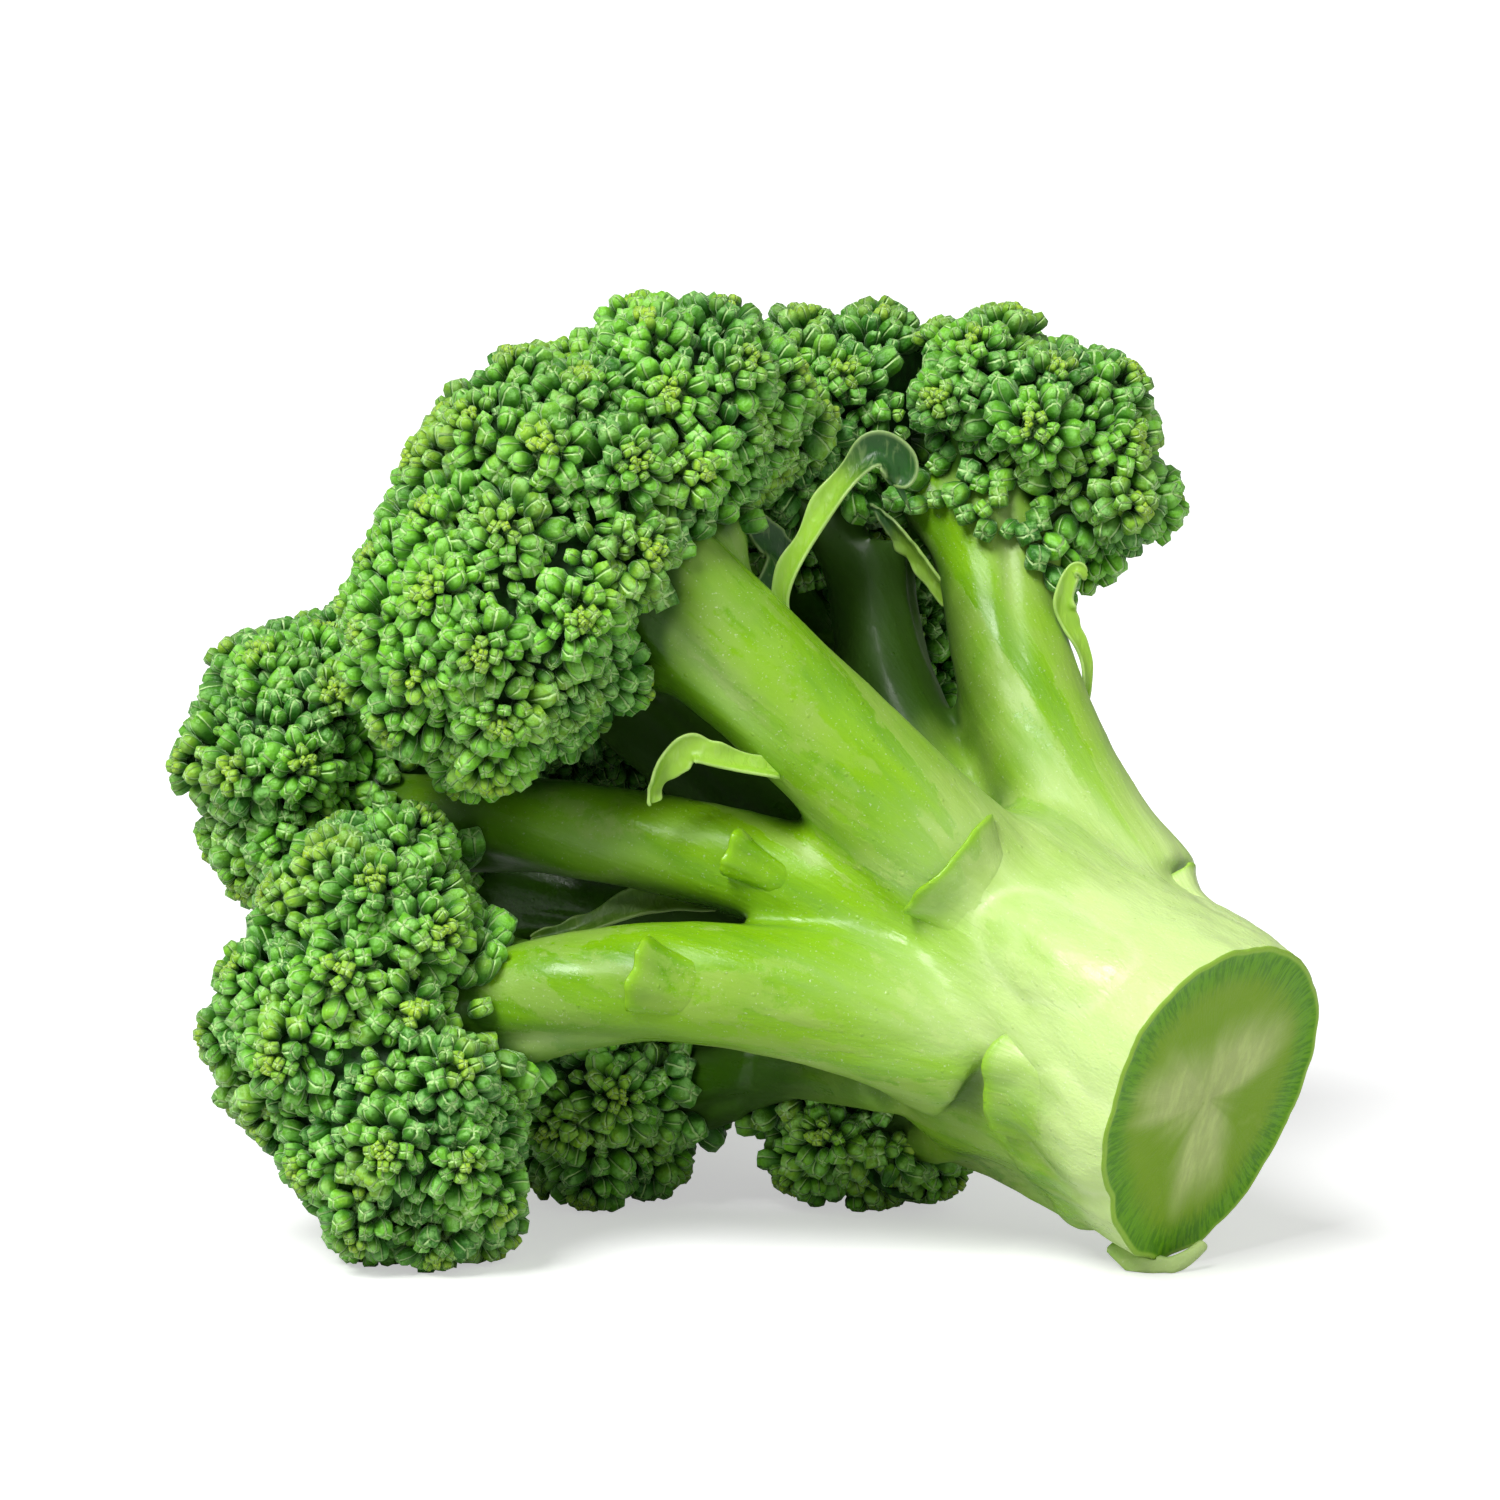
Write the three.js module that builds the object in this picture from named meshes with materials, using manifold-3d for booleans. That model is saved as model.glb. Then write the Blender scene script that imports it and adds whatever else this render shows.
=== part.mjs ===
// A cut head of broccoli, lying on its side on the buds of four florets and the rim of its stalk.
// Millimetres, +Z up. The cut end of the stalk faces +X, -Y and a little down; the crown opens away
// from it. The origin is the middle of the head's footprint, on the surface that it lies on.
import * as THREE from 'three';
import { mergeVertices } from 'three/addons/utils/BufferGeometryUtils.js';
import Module from 'manifold-3d';

const wasm = await Module();
wasm.setup();

// ---------- driving dimensions ----------

const GAP = 0.3; // left between pieces that grow out of or against each other
const REST_LEVEL = 0; // the surface under the head
const STALK_RADIUS = 19.6; // mean, at the cut
const STALK_LENGTH = 32.4; // cut face to the fork
const FORK = new THREE.Vector3(33.3, -21.5, 32.6); // where the stalk divides into branches
const CUT_NORMAL = new THREE.Vector3(0.68, -0.66, -0.32).normalize(); // out of the cut face
const CROWN = CUT_NORMAL.clone().negate(); // from the stalk towards the crown
const SIDEWAYS = new THREE.Vector3(-CUT_NORMAL.y, CUT_NORMAL.x, 0).normalize();
const CUT_CENTRE = FORK.clone().addScaledVector(CUT_NORMAL, STALK_LENGTH);

const STALK_SIDES = 24;
const BRANCH_SIDES = 11;
const BRANCH_RINGS = 6;
const TWIG_SIDES = 7;
const LOBE_FACE = 6.6; // edge length that the lobes' facets come near
const HALF_SPACE = 400; // side of the block that cuts two lobes apart

// Each floret is one or more lobes of buds: a centre, and a radius or three half-sizes.
// Its branch has radius stem, swells by the share swell under the buds, and ends at end. root and
// pull are where it starts and what it bends towards: without them it leaves the fork along the
// crown's axis. twigs are the ends of the thinner stems that leave it just below the buds.
const FLORETS = [
  {
    name: 'front',
    lobes: [
      [[-28, -25, 76], 20.4], [[-21.5, -20, 89.2], 20.6], [[-9, -14, 98.2], 17.6],
      [[2, -10, 97], 9.5], [[-20.5, -29, 83], 14.5], [[-20, -1, 92], 17],
    ],
    stem: 8, swell: 0.3, root: [32.7, -29, 38.4], pull: [11.5, -31, 63.8], end: [-12.7, -22, 83.2],
    twigs: [[-20.6, -24, 71.8], [-4, -17, 88.8]],
  },
  {
    name: 'right',
    lobes: [[[30.3, 12, 98.6], 14], [[38.5, 10, 94.6], 14], [[44, 7, 88], 10.6], [[35, 24, 92], 16]],
    stem: 7.6, swell: 0.05, root: [46.5, -22, 41], pull: [32.6, -9, 59.8], end: [30, 8, 87.5],
    twigs: [[21.7, 7, 90.3], [38.2, 3, 84.4]],
  },
  {
    name: 'low_left',
    lobes: [[[-43.4, -27, 39], 16], [[-48, -28, 28], 17], [[-39.4, -32, 17.4], 17.8]],
    stem: 7.2, swell: 0.1, root: [26.6, -33, 27.3], pull: [-4.2, -38, 40.4], end: [-30.3, -29, 30.2],
    twigs: [[-35, -24, 36], [-35, -33, 24]],
  },
  {
    name: 'left',
    lobes: [[[-54.6, -2, 56], [15.4, 17, 18]], [[-50, 13, 58], 17]],
    stem: 5.7, swell: 0.15, root: [19.5, -27, 41], pull: [-17.6, -25, 55.4], end: [-43.5, -7, 49.6],
    twigs: [[-46.8, -4, 55.5]],
  },
  {
    name: 'middle',
    lobes: [[[7, 16, 97.8], 14.2], [[17.2, 18, 97.6], 14.8]],
    stem: 6, swell: 0.05, root: [29.6, -14, 43.8], pull: [15.9, 0, 60.6], end: [15.6, 12, 82],
    twigs: [[8, 12, 88]],
  },
  {
    name: 'low_centre',
    lobes: [[[14.8, 1, 9.3], [14.5, 13, 9.8]]],
    stem: 4.6, swell: 0.1, root: [43.6, -34, 9.6], pull: [29.7, -16, 13], end: [20.1, -3, 11.2],
    twigs: [],
  },
  {
    name: 'low_back',
    lobes: [[[-17, 3, 13.8], 14.4], [[-20, 13, 18], 15.5]],
    stem: 5, swell: 0.2, root: [19, -22, 22.7], pull: [5.6, -8, 20.7], end: [-7, 2, 14.2],
    twigs: [],
  },
  {
    name: 'heart',
    lobes: [[[-30, 36, 60.5], 22.5], [[-24, 20, 83], 18]],
    stem: 5.4, swell: 0.3, root: [14.2, -17, 44.3], pull: [-0.6, 0, 50.5], end: [-13.4, 16, 62],
    twigs: [[-14, 12, 72]],
  },
  { name: 'behind_right', lobes: [[[21, 41, 62], 20]], stem: 5.4, swell: 0.2, end: [25, 28, 55], twigs: [] },
  { name: 'back_top', lobes: [[[2, 42, 82], 20]], stem: 5.4, swell: 0.2, end: [5, 31, 71], twigs: [] },
  { name: 'back', lobes: [[[-9, 54, 50], 21]], stem: 5.6, swell: 0.2, end: [-1, 38, 47], twigs: [] },
  { name: 'back_right', lobes: [[[15, 47, 34], 19]], stem: 5.2, swell: 0.2, end: [18, 34, 34], twigs: [] },
  { name: 'back_low', lobes: [[[-21, 43, 19], 19.6]], stem: 5.2, swell: 0.2, end: [-11, 30, 24], twigs: [] },
  { name: 'back_left', lobes: [[[-44, 24, 36], 19]], stem: 5.2, swell: 0.2, end: [-31, 14, 38], twigs: [] },
];

// Leaves and the stubs of cut leaf stalks: three points that the midrib is pulled through, the way
// the blade faces, and its width and thickness at the root. tip is the width left at the end.
const LEAVES = [
  { name: 'leaf_curled', spine: [[-1.5, -31, 59], [-8, -36, 66], [-10.7, -38, 56.5]],
    facing: [-0.2, -0.75, 0.6], width: 4, thick: 0.9, tip: 0.3 },
  { name: 'leaf_tall', spine: [[4.5, -22, 74.5], [5.5, -25, 88], [18, -23, 96]],
    facing: [0.45, -0.88, -0.1], width: 5, thick: 0.9, tip: 0.6 },
  { name: 'leaf_dark', spine: [[4.5, -9, 81], [2.5, -10.5, 85], [0, -11, 89.5]],
    facing: [0.3, -0.9, 0.2], width: 4.4, thick: 0.8, tip: 0.25 },
  { name: 'leaf_right', spine: [[41, -6, 66], [44, -5, 75], [39, -4, 81]],
    facing: [0.8, -0.6, 0.1], width: 4, thick: 0.8, tip: 0.3 },
  { name: 'leaf_inner', spine: [[23.5, 2.5, 81], [19.5, 0.5, 84], [16, 0, 88.6]],
    facing: [0.1, -0.95, 0.3], width: 4.4, thick: 0.8, tip: 0.2 },
  { name: 'leaf_under', spine: [[1, -27, 42], [-12.8, -20, 46], [-26, -12, 37.8]],
    facing: [0.1, -0.75, 0.65], width: 5, thick: 0.9, tip: 0.4 },
  { name: 'stub_low_left', spine: [[-4, -40.5, 31.5], [-9.5, -43.5, 35], [-13.5, -43.2, 41.5]],
    facing: [0.1, -0.95, 0.3], width: 6, thick: 1.2, tip: 0.25 },
  { name: 'stub_left', spine: [[4, -32.5, 44.5], [0, -34, 48], [-1.2, -33.6, 53]],
    facing: [0.05, -0.9, 0.4], width: 6, thick: 1.1, tip: 0.4 },
  { name: 'stub_front', spine: [[38.5, -41, 38], [29, -46, 44], [20.6, -41.5, 58]],
    facing: [0.1, -0.9, 0.42], width: 15, thick: 1.5, tip: 0.12 },
  { name: 'stub_low', spine: [[39, -48, 19], [31.5, -49.5, 20.5], [24.5, -46, 22.5]],
    facing: [-0.35, -0.93, 0.05], width: 12, thick: 1.5, tip: 0.75 },
  { name: 'torn_edge', spine: [[44.5, -36.6, 3.2], [50, -41.6, -2.4], [55.5, -37.8, 3.4]],
    facing: [0.6, -0.74, -0.3], width: 3, thick: 1, tip: 0.6 },
  { name: 'stub_top', spine: [[58.2, -32.4, 40.4], [52.8, -29.4, 44], [48.8, -26, 45.6]],
    facing: [0.3, -0.6, 0.75], width: 12, thick: 1.5, tip: 0.85 },
];

const COLOURS = {
  stem: { color: 0xb4d964, roughness: 0.42 },
  floret: { color: 0x3f7d33, roughness: 0.62 },
  leaf: { color: 0x7fb63a, roughness: 0.5 },
};

// ---------- solids from three.js geometry ----------

function solidFrom(geometry) {
  const bare = geometry.index ? geometry.toNonIndexed() : geometry.clone();
  bare.deleteAttribute('normal');
  bare.deleteAttribute('uv');
  const merged = mergeVertices(bare, 1e-4);
  const corners = merged.index.array;
  const kept = [];
  for (let i = 0; i < corners.length; i += 3) {
    const [a, b, c] = [corners[i], corners[i + 1], corners[i + 2]];
    if (a !== b && b !== c && a !== c) kept.push(a, b, c);
  }
  return new wasm.Manifold(new wasm.Mesh({
    numProp: 3,
    vertProperties: merged.attributes.position.array,
    triVerts: new Uint32Array(kept),
  }));
}

function geometryFrom(solid) {
  const mesh = solid.getMesh();
  const geometry = new THREE.BufferGeometry();
  geometry.setAttribute('position', new THREE.BufferAttribute(mesh.vertProperties, 3));
  geometry.setIndex(new THREE.BufferAttribute(mesh.triVerts, 1));
  geometry.computeVertexNormals();
  return geometry;
}

// Moves each vertex of a geometry to where place(point) says.
function reshape(geometry, place) {
  const points = geometry.getAttribute('position');
  const point = new THREE.Vector3();
  for (let i = 0; i < points.count; i += 1) {
    point.fromBufferAttribute(points, i);
    const moved = place(point);
    points.setXYZ(i, moved.x, moved.y, moved.z);
  }
  return geometry;
}

function largest(solid) {
  const bodies = solid.decompose();
  return bodies.reduce((best, body) => (body.volume() > best.volume() ? body : best));
}

// A block that fills everything beyond a plane, on the side that normal points to.
function beyond(point, normal) {
  const block = new THREE.BoxGeometry(HALF_SPACE, HALF_SPACE, HALF_SPACE);
  const turn = new THREE.Quaternion().setFromUnitVectors(new THREE.Vector3(0, 0, 1), normal);
  block.translate(0, 0, HALF_SPACE / 2).applyQuaternion(turn);
  block.translate(point.x, point.y, point.z);
  return solidFrom(block);
}

// ---------- the stalk ----------

// The stalk's outline is a rounded lobed shape, left by the leaf stalks that ran down it.
function stalkRadius(angle, grow) {
  const twoLobes = 0.08 * Math.cos(2 * (angle - THREE.MathUtils.degToRad(100)));
  const threeLobes = 0.05 * Math.cos(3 * (angle - THREE.MathUtils.degToRad(150)));
  return STALK_RADIUS * (1 + twoLobes + threeLobes) + grow;
}

function stalk(grow = 0) {
  const past = 15; // the stalk's rounded inner end, past the fork
  const profile = [[0, 0], [0.985, 0], [1, 2], [0.99, 12], [1.01, 25], [1.08, 37], [1.02, 45], [0.66, 52], [0, 54]];
  const points = profile.map(([share, along]) => new THREE.Vector2(share, along));
  const lathe = new THREE.LatheGeometry(points, STALK_SIDES);
  const up = new THREE.Vector3().crossVectors(CUT_NORMAL, SIDEWAYS);
  const stretch = (STALK_LENGTH + past + grow) / 54;
  reshape(lathe, (p) => {
    const angle = Math.atan2(p.x, p.z);
    const radius = Math.hypot(p.x, p.z) * stalkRadius(angle, grow);
    return CUT_CENTRE.clone()
      .addScaledVector(CROWN, p.y * stretch - grow * (p.y === 0))
      .addScaledVector(SIDEWAYS, radius * Math.cos(angle))
      .addScaledVector(up, radius * Math.sin(angle));
  });
  return facingOut(lathe);
}

// A solid whose faces point out, whichever way round its profile was turned.
function facingOut(geometry) {
  const solid = solidFrom(geometry);
  if (solid.volume() > 0) return solid;
  const flipped = geometry.index.array;
  for (let i = 0; i < flipped.length; i += 3) {
    [flipped[i + 1], flipped[i + 2]] = [flipped[i + 2], flipped[i + 1]];
  }
  return solidFrom(geometry);
}

// ---------- branches ----------

// A round stem that follows a curve, with its radius given along the way.
function stemAlong(curve, radiusAt, sides, grow) {
  const rings = BRANCH_RINGS;
  const profile = [new THREE.Vector2(0, 0)];
  for (let k = 0; k <= rings; k += 1) profile.push(new THREE.Vector2(radiusAt(k / rings) + grow, k / rings));
  profile.push(new THREE.Vector2(0, 1));
  const lathe = new THREE.LatheGeometry(profile, sides);
  const frames = curve.computeFrenetFrames(rings, false);
  reshape(lathe, (p) => {
    const k = Math.round(p.y * rings);
    const endward = grow * ((k === rings) - (k === 0));
    return curve.getPointAt(k / rings)
      .addScaledVector(frames.normals[k], p.x)
      .addScaledVector(frames.binormals[k], p.z)
      .addScaledVector(frames.tangents[k], endward);
  });
  return facingOut(lathe);
}

function branchCurve({ root, pull, end }) {
  const tip = new THREE.Vector3(...end);
  if (root) return new THREE.QuadraticBezierCurve3(new THREE.Vector3(...root), new THREE.Vector3(...pull), tip);
  const reach = tip.clone().sub(FORK);
  const outward = reach.clone().addScaledVector(CROWN, -reach.dot(CROWN)).normalize();
  const start = FORK.clone().addScaledVector(outward, 10);
  const bend = start.clone().addScaledVector(CROWN, reach.length() * 0.5);
  return new THREE.QuadraticBezierCurve3(start, bend, tip);
}

// Thick at the root, slim in the middle, and swelling where its twigs leave under the buds.
function branch(own, grow = 0) {
  const radiusAt = (t) => own.stem * (1 + 0.45 * (1 - t) ** 3 + own.swell * t ** 4);
  const curve = branchCurve(own);
  let whole = stemAlong(curve, radiusAt, BRANCH_SIDES, grow);
  for (const end of own.twigs) {
    const bend = curve.getPoint(0.85);
    const twig = new THREE.QuadraticBezierCurve3(curve.getPoint(0.6), bend, new THREE.Vector3(...end));
    whole = whole.add(stemAlong(twig, (t) => own.stem * (0.72 - 0.1 * t), TWIG_SIDES, grow));
  }
  return whole;
}

// ---------- florets ----------

// One lobe: a dome of buds with low swellings, drawn in a little on the side of the fork.
function lobe(centre, size) {
  const ball = new THREE.IcosahedronGeometry(1, Math.round(meanRadius(size) / LOBE_FACE));
  const middle = new THREE.Vector3(...centre);
  const halves = new THREE.Vector3(...(Array.isArray(size) ? size : [size, size, size]));
  const outward = middle.clone().sub(FORK).normalize();
  return solidFrom(reshape(ball, (p) => {
    const facing = p.dot(outward);
    const swell = 0.03 * Math.sin(5 * p.x + centre[0]) * Math.sin(5 * p.y + centre[1]) * Math.sin(5 * p.z + centre[2]);
    const under = 0.16 * THREE.MathUtils.smoothstep(-facing, 0.35, 1);
    return p.clone().multiplyScalar(1 + swell - under).multiply(halves).add(middle);
  }));
}

function meanRadius(size) {
  return Array.isArray(size) ? Math.cbrt(size[0] * size[1] * size[2]) : size;
}

// Two lobes of different florets press against each other on a plane between their centres.
function pressedBy(solid, [centre, size], [otherCentre, otherSize]) {
  const here = new THREE.Vector3(...centre);
  const there = new THREE.Vector3(...otherCentre);
  const apart = here.distanceTo(there);
  const [mine, theirs] = [meanRadius(size), meanRadius(otherSize)];
  if (apart > (mine + theirs) * 1.12) return solid;
  const share = (apart ** 2 + mine ** 2 - theirs ** 2) / (2 * apart);
  const way = there.sub(here).normalize();
  return solid.subtract(beyond(here.addScaledVector(way, share - GAP / 2), way));
}

function floret(own, branches) {
  const others = FLORETS.filter((f) => f !== own).flatMap((f) => f.lobes);
  let whole = null;
  for (const each of own.lobes) {
    let solid = lobe(...each);
    for (const other of others) solid = pressedBy(solid, each, other);
    whole = whole ? whole.add(solid) : solid;
  }
  whole = whole.subtract(beyond(new THREE.Vector3(0, 0, REST_LEVEL), new THREE.Vector3(0, 0, -1)));
  for (const grown of branches) whole = whole.subtract(grown);
  return largest(whole);
}

// ---------- leaves ----------

// A blade bent along its midrib, slightly cupped, from a root of full width to a narrow tip.
function leaf({ spine, facing, width, thick, tip }, grow = 0) {
  const midrib = new THREE.QuadraticBezierCurve3(...spine.map((p) => new THREE.Vector3(...p)));
  const slab = new THREE.BoxGeometry(1, 1, 1, 5, 2, 1);
  const face = new THREE.Vector3(...facing).normalize();
  return solidFrom(reshape(slab, (p) => {
    const u = p.x + 0.5;
    const along = midrib.getTangent(u);
    const across = new THREE.Vector3().crossVectors(face, along).normalize();
    const out = new THREE.Vector3().crossVectors(along, across);
    const half = width * (1 + 0.25 * Math.sin(Math.PI * u) - (1 - tip) * u ** 1.5) + 2 * grow;
    const cup = -width * 0.35 * p.y ** 2;
    return midrib.getPoint(u)
      .addScaledVector(across, p.y * half)
      .addScaledVector(out, cup + p.z * (thick * (1 - 0.35 * u) + 2 * grow))
      .addScaledVector(along, grow * Math.sign(p.x) * (Math.abs(p.x) > 0.49));
  }));
}

// ---------- the head ----------

const head = new THREE.Group();

function place(name, solid, look) {
  const mesh = new THREE.Mesh(geometryFrom(solid), new THREE.MeshStandardMaterial({ ...look, metalness: 0 }));
  mesh.name = name;
  head.add(mesh);
}

const floor = beyond(new THREE.Vector3(0, 0, REST_LEVEL), new THREE.Vector3(0, 0, -1));
const grownStems = [stalk(GAP)];
place('stalk', stalk().subtract(floor), COLOURS.stem);

for (const own of FLORETS) {
  let stem = branch(own).subtract(floor);
  for (const grown of grownStems) stem = stem.subtract(grown);
  place(`branch_${own.name}`, largest(stem), COLOURS.stem);
  grownStems.push(branch(own, GAP));
}

const grownBlades = [];
for (const each of LEAVES) {
  let blade = leaf(each).subtract(floor);
  for (const grown of [...grownStems, ...grownBlades]) blade = blade.subtract(grown);
  place(each.name, largest(blade), COLOURS.leaf);
  grownBlades.push(leaf(each, GAP));
}

for (const own of FLORETS) {
  place(`floret_${own.name}`, floret(own, [...grownStems, ...grownBlades]), COLOURS.floret);
}

// The footprint's middle becomes the origin.
const bounds = new THREE.Box3().setFromObject(head);
const middle = bounds.getCenter(new THREE.Vector3());
head.position.set(-middle.x, -middle.y, -bounds.min.z);

export default head;
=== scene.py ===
"""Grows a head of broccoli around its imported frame: stems, cut end, florets of buds, leaves, stage."""

import math
import random

import bmesh
import bpy
import numpy as np
from mathutils import Matrix, Vector, noise
from mathutils.bvhtree import BVHTree


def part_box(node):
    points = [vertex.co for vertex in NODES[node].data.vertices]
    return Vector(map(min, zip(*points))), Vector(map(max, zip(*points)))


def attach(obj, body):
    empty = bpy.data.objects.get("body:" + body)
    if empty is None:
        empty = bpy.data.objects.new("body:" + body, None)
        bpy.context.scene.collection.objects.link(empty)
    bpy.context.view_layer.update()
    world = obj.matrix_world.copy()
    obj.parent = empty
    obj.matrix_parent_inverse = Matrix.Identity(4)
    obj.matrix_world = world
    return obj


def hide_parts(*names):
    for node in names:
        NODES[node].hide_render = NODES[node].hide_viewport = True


bl_info = {
    "name": "Broccoli Head",
    "version": (1, 0, 0),
    "blender": (4, 5, 0),
    "location": "3D View > Sidebar > Broccoli",
    "description": "Grows a head of broccoli from the solids of its frame",
    "category": "Add Mesh",
}

MM = 0.001
GOLDEN_ANGLE = math.pi * (3 - math.sqrt(5))
UP = Vector((0, 0, 1))

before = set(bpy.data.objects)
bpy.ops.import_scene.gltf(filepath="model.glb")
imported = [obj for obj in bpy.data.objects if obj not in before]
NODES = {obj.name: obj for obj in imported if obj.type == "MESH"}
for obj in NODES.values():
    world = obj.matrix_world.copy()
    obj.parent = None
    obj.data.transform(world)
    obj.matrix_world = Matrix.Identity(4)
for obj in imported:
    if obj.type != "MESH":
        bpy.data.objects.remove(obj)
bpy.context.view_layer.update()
BRANCHES = sorted(n for n in NODES if n.startswith("branch_"))
FLORETS = sorted(n for n in NODES if n.startswith("floret_"))
STUBS = sorted(n for n in NODES if n.startswith("stub_"))


# ---------- settings ----------


def length(name, description, default_mm):
    """A length in metres whose default is given in millimetres."""
    return amount(name, description, default_mm * MM, unit="LENGTH", precision=5)


def amount(name, description, default, **more):
    """A plain number, or an angle, or a length in metres."""
    return bpy.props.FloatProperty(name=name, description=description, default=default, **more)


def colour(name, description, default):
    """A linear colour."""
    return bpy.props.FloatVectorProperty(
        name=name, description=description, default=default, subtype="COLOR", size=3, min=0, max=1
    )


class StemSettings(bpy.types.PropertyGroup):
    """Sizes and colours of the stalk and the branches."""

    voxel: length("Voxel", "Size of the cells that the stems are joined on", 0.78)
    swell: length("Swell", "How far each stem grows to meet the next one", 0.15)
    blend: bpy.props.IntProperty(name="Blend", description="Passes that round the forks", default=16, min=0)
    skin: colour("Skin", "Green of the stems' skin", (0.23, 0.47, 0.005))
    deep: colour("Deep skin", "Green of the darker bands along the stems", (0.14, 0.35, 0.004))
    bloom: colour("Bloom", "Whitish wax on the skin", (0.30, 0.47, 0.07))
    pale: colour("Pale skin", "Skin of the stalk near the cut", (0.60, 0.78, 0.30))
    # painted shade: the near-black green that the stems take deep inside the crown, where little light
    # reaches
    inner: colour("Inner skin", "Skin of the stems deep inside the crown", (0.026, 0.09, 0.003))


class CutSettings(bpy.types.PropertyGroup):
    """Colours of the cut end, from its edge to its middle."""

    rind: colour("Rind", "Bright edge of the cut", (0.30, 0.52, 0.05))
    ring: colour("Ring", "Green ring of fibres inside the rind", (0.15, 0.39, 0.004))
    fibre: colour("Fibres", "Dark dashes in the ring", (0.065, 0.235, 0.003))
    flesh: colour("Flesh", "Flesh between the ring and the pith", (0.21, 0.39, 0.006))
    pith: colour("Pith", "Pale middle of the stalk", (0.45, 0.56, 0.18))


class BudSettings(bpy.types.PropertyGroup):
    """Sizes and colours of the flower buds."""

    smallest: length("Smallest bud", "Width of the buds in the middle of a rosette", 1.05)
    largest: length("Largest bud", "Width of the buds round a rosette", 3.6)
    rosette: length("Rosette", "Radius of one rosette of buds", 5.8)
    sunk: length("Sunk", "How far the buds' middles sit under the floret's outline", 1.3)
    seed: bpy.props.IntProperty(name="Seed", description="Starts the random placing of the buds", default=7)
    green: colour("Green", "Middle green of the buds", (0.19, 0.60, 0.018))
    # the older buds' own dark green; toned down, it is also the painted shade at the buds' feet, in the
    # sepal grooves and on the floret cores
    dark: colour("Dark green", "Darkest of the older buds", (0.026, 0.18, 0.006))
    young: colour("Young", "Yellow green of the youngest buds", (0.40, 0.62, 0.03))
    bloom: colour("Bloom", "Bluish wax on the buds", (0.38, 0.80, 0.21))
    seam: colour("Seam", "Pale seams between a bud's sepals", (0.60, 0.86, 0.34))


class LeafSettings(bpy.types.PropertyGroup):
    """Colours of the small leaves and of the stubs of cut leaf stalks."""

    light: colour("Light", "Green of the young, pale blades", (0.30, 0.54, 0.04))
    deep: colour("Deep", "Dark green of the old blades", (0.010, 0.080, 0.004))
    edge: colour("Edge", "Pale green of the blades' roots and rims", (0.48, 0.66, 0.24))


class StageSettings(bpy.types.PropertyGroup):
    """The floor, the lights and the camera."""

    lens: amount("Lens", "Focal length", 153.6, unit="CAMERA")
    away: amount("Away", "Camera's distance", 0.8, unit="LENGTH")
    tilt: amount("Tilt", "Camera's height above the horizon", math.radians(8), subtype="ANGLE")
    sun: amount("Sun", "Strength of the main light", 3.6)
    sky: amount("Sky", "Strength of the light from all round", 0.26)
    floor: colour("Floor", "The floor's colour", (0.7, 0.7, 0.7))
    lift: amount("Lift", "How far the floor's shadows are lightened", 0.5)


# ---------- meshes ----------


def merged(names):
    """A bmesh of copies of CAD nodes, with each node's loose triangles joined up."""
    bm = bmesh.new()
    for name in names:
        bm.from_mesh(NODES[name].data)
    bmesh.ops.remove_doubles(bm, verts=bm.verts, dist=1e-6)
    bm.normal_update()
    return bm


def piece_from(bm, name, materials, smooth=True):
    """Makes an object at the origin from a bmesh, and gives it its materials."""
    mesh = bpy.data.meshes.new(name)
    bm.to_mesh(mesh)
    bm.free()
    return piece_of(mesh, name, materials, smooth)


def handed(piece, slot, *replaced):
    """Ties a finished piece to the body and hides the nodes that it stands in for. Its slot is not used."""
    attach(piece, "root")
    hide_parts(*replaced)
    return piece


def off_the_floor(bm):
    """Lifts whatever is under the floor up to it."""
    for v in bm.verts:
        v.co.z = max(v.co.z, 0.0)


def stem_surface():
    """The finished stems' surface, and spots spread over it with their normals."""
    stems = bmesh.new()
    stems.from_mesh(bpy.data.objects[STEMS].data)
    tree = BVHTree.FromBMesh(stems)
    spots = [(v.co.copy(), v.normal.copy()) for v in stems.verts[:][::9]]
    stems.free()
    return tree, spots


def tree_of(names):
    """The surface of CAD nodes, for finding the nearest spot on it."""
    solids = merged(names)
    tree = BVHTree.FromBMesh(solids)
    solids.free()
    return tree


def shake(chance, size):
    """A random vector whose parts are at most a size."""
    return Vector((chance.uniform(-1, 1), chance.uniform(-1, 1), chance.uniform(-1, 1))) * size


def piece_of(mesh, name, materials, smooth=True):
    """Makes an object at the origin from a mesh, and gives it its materials."""
    mesh.name = name
    for material in materials:
        mesh.materials.append(material)
    if smooth:
        mesh.polygons.foreach_set("use_smooth", [True] * len(mesh.polygons))
    piece = bpy.data.objects.new(name, mesh)
    bpy.context.scene.collection.objects.link(piece)
    return piece


def remeshed(bm, voxel):
    """The bmesh's outer surface on a grid of voxels, as a new bmesh. Pieces that overlap become one."""
    stand = piece_from(bm, "stand", [])
    grid = stand.modifiers.new("Voxels", "REMESH")
    grid.mode = "VOXEL"
    grid.voxel_size = voxel
    graph = bpy.context.evaluated_depsgraph_get()
    mesh = bpy.data.meshes.new_from_object(stand.evaluated_get(graph))
    bpy.data.objects.remove(stand)
    out = bmesh.new()
    out.from_mesh(mesh)
    bpy.data.meshes.remove(mesh)
    return out


def relax(bm, passes):
    """Rounds off a surface."""
    axes = dict(use_axis_x=True, use_axis_y=True, use_axis_z=True)
    for _ in range(passes):
        bmesh.ops.smooth_vert(bm, verts=bm.verts, factor=0.5, **axes)
    bm.normal_update()


def step(low, high, value):
    """0 below low, 1 above high, smooth between."""
    t = min(1.0, max(0.0, (value - low) / (high - low)))
    return t * t * (3 - 2 * t)


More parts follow.
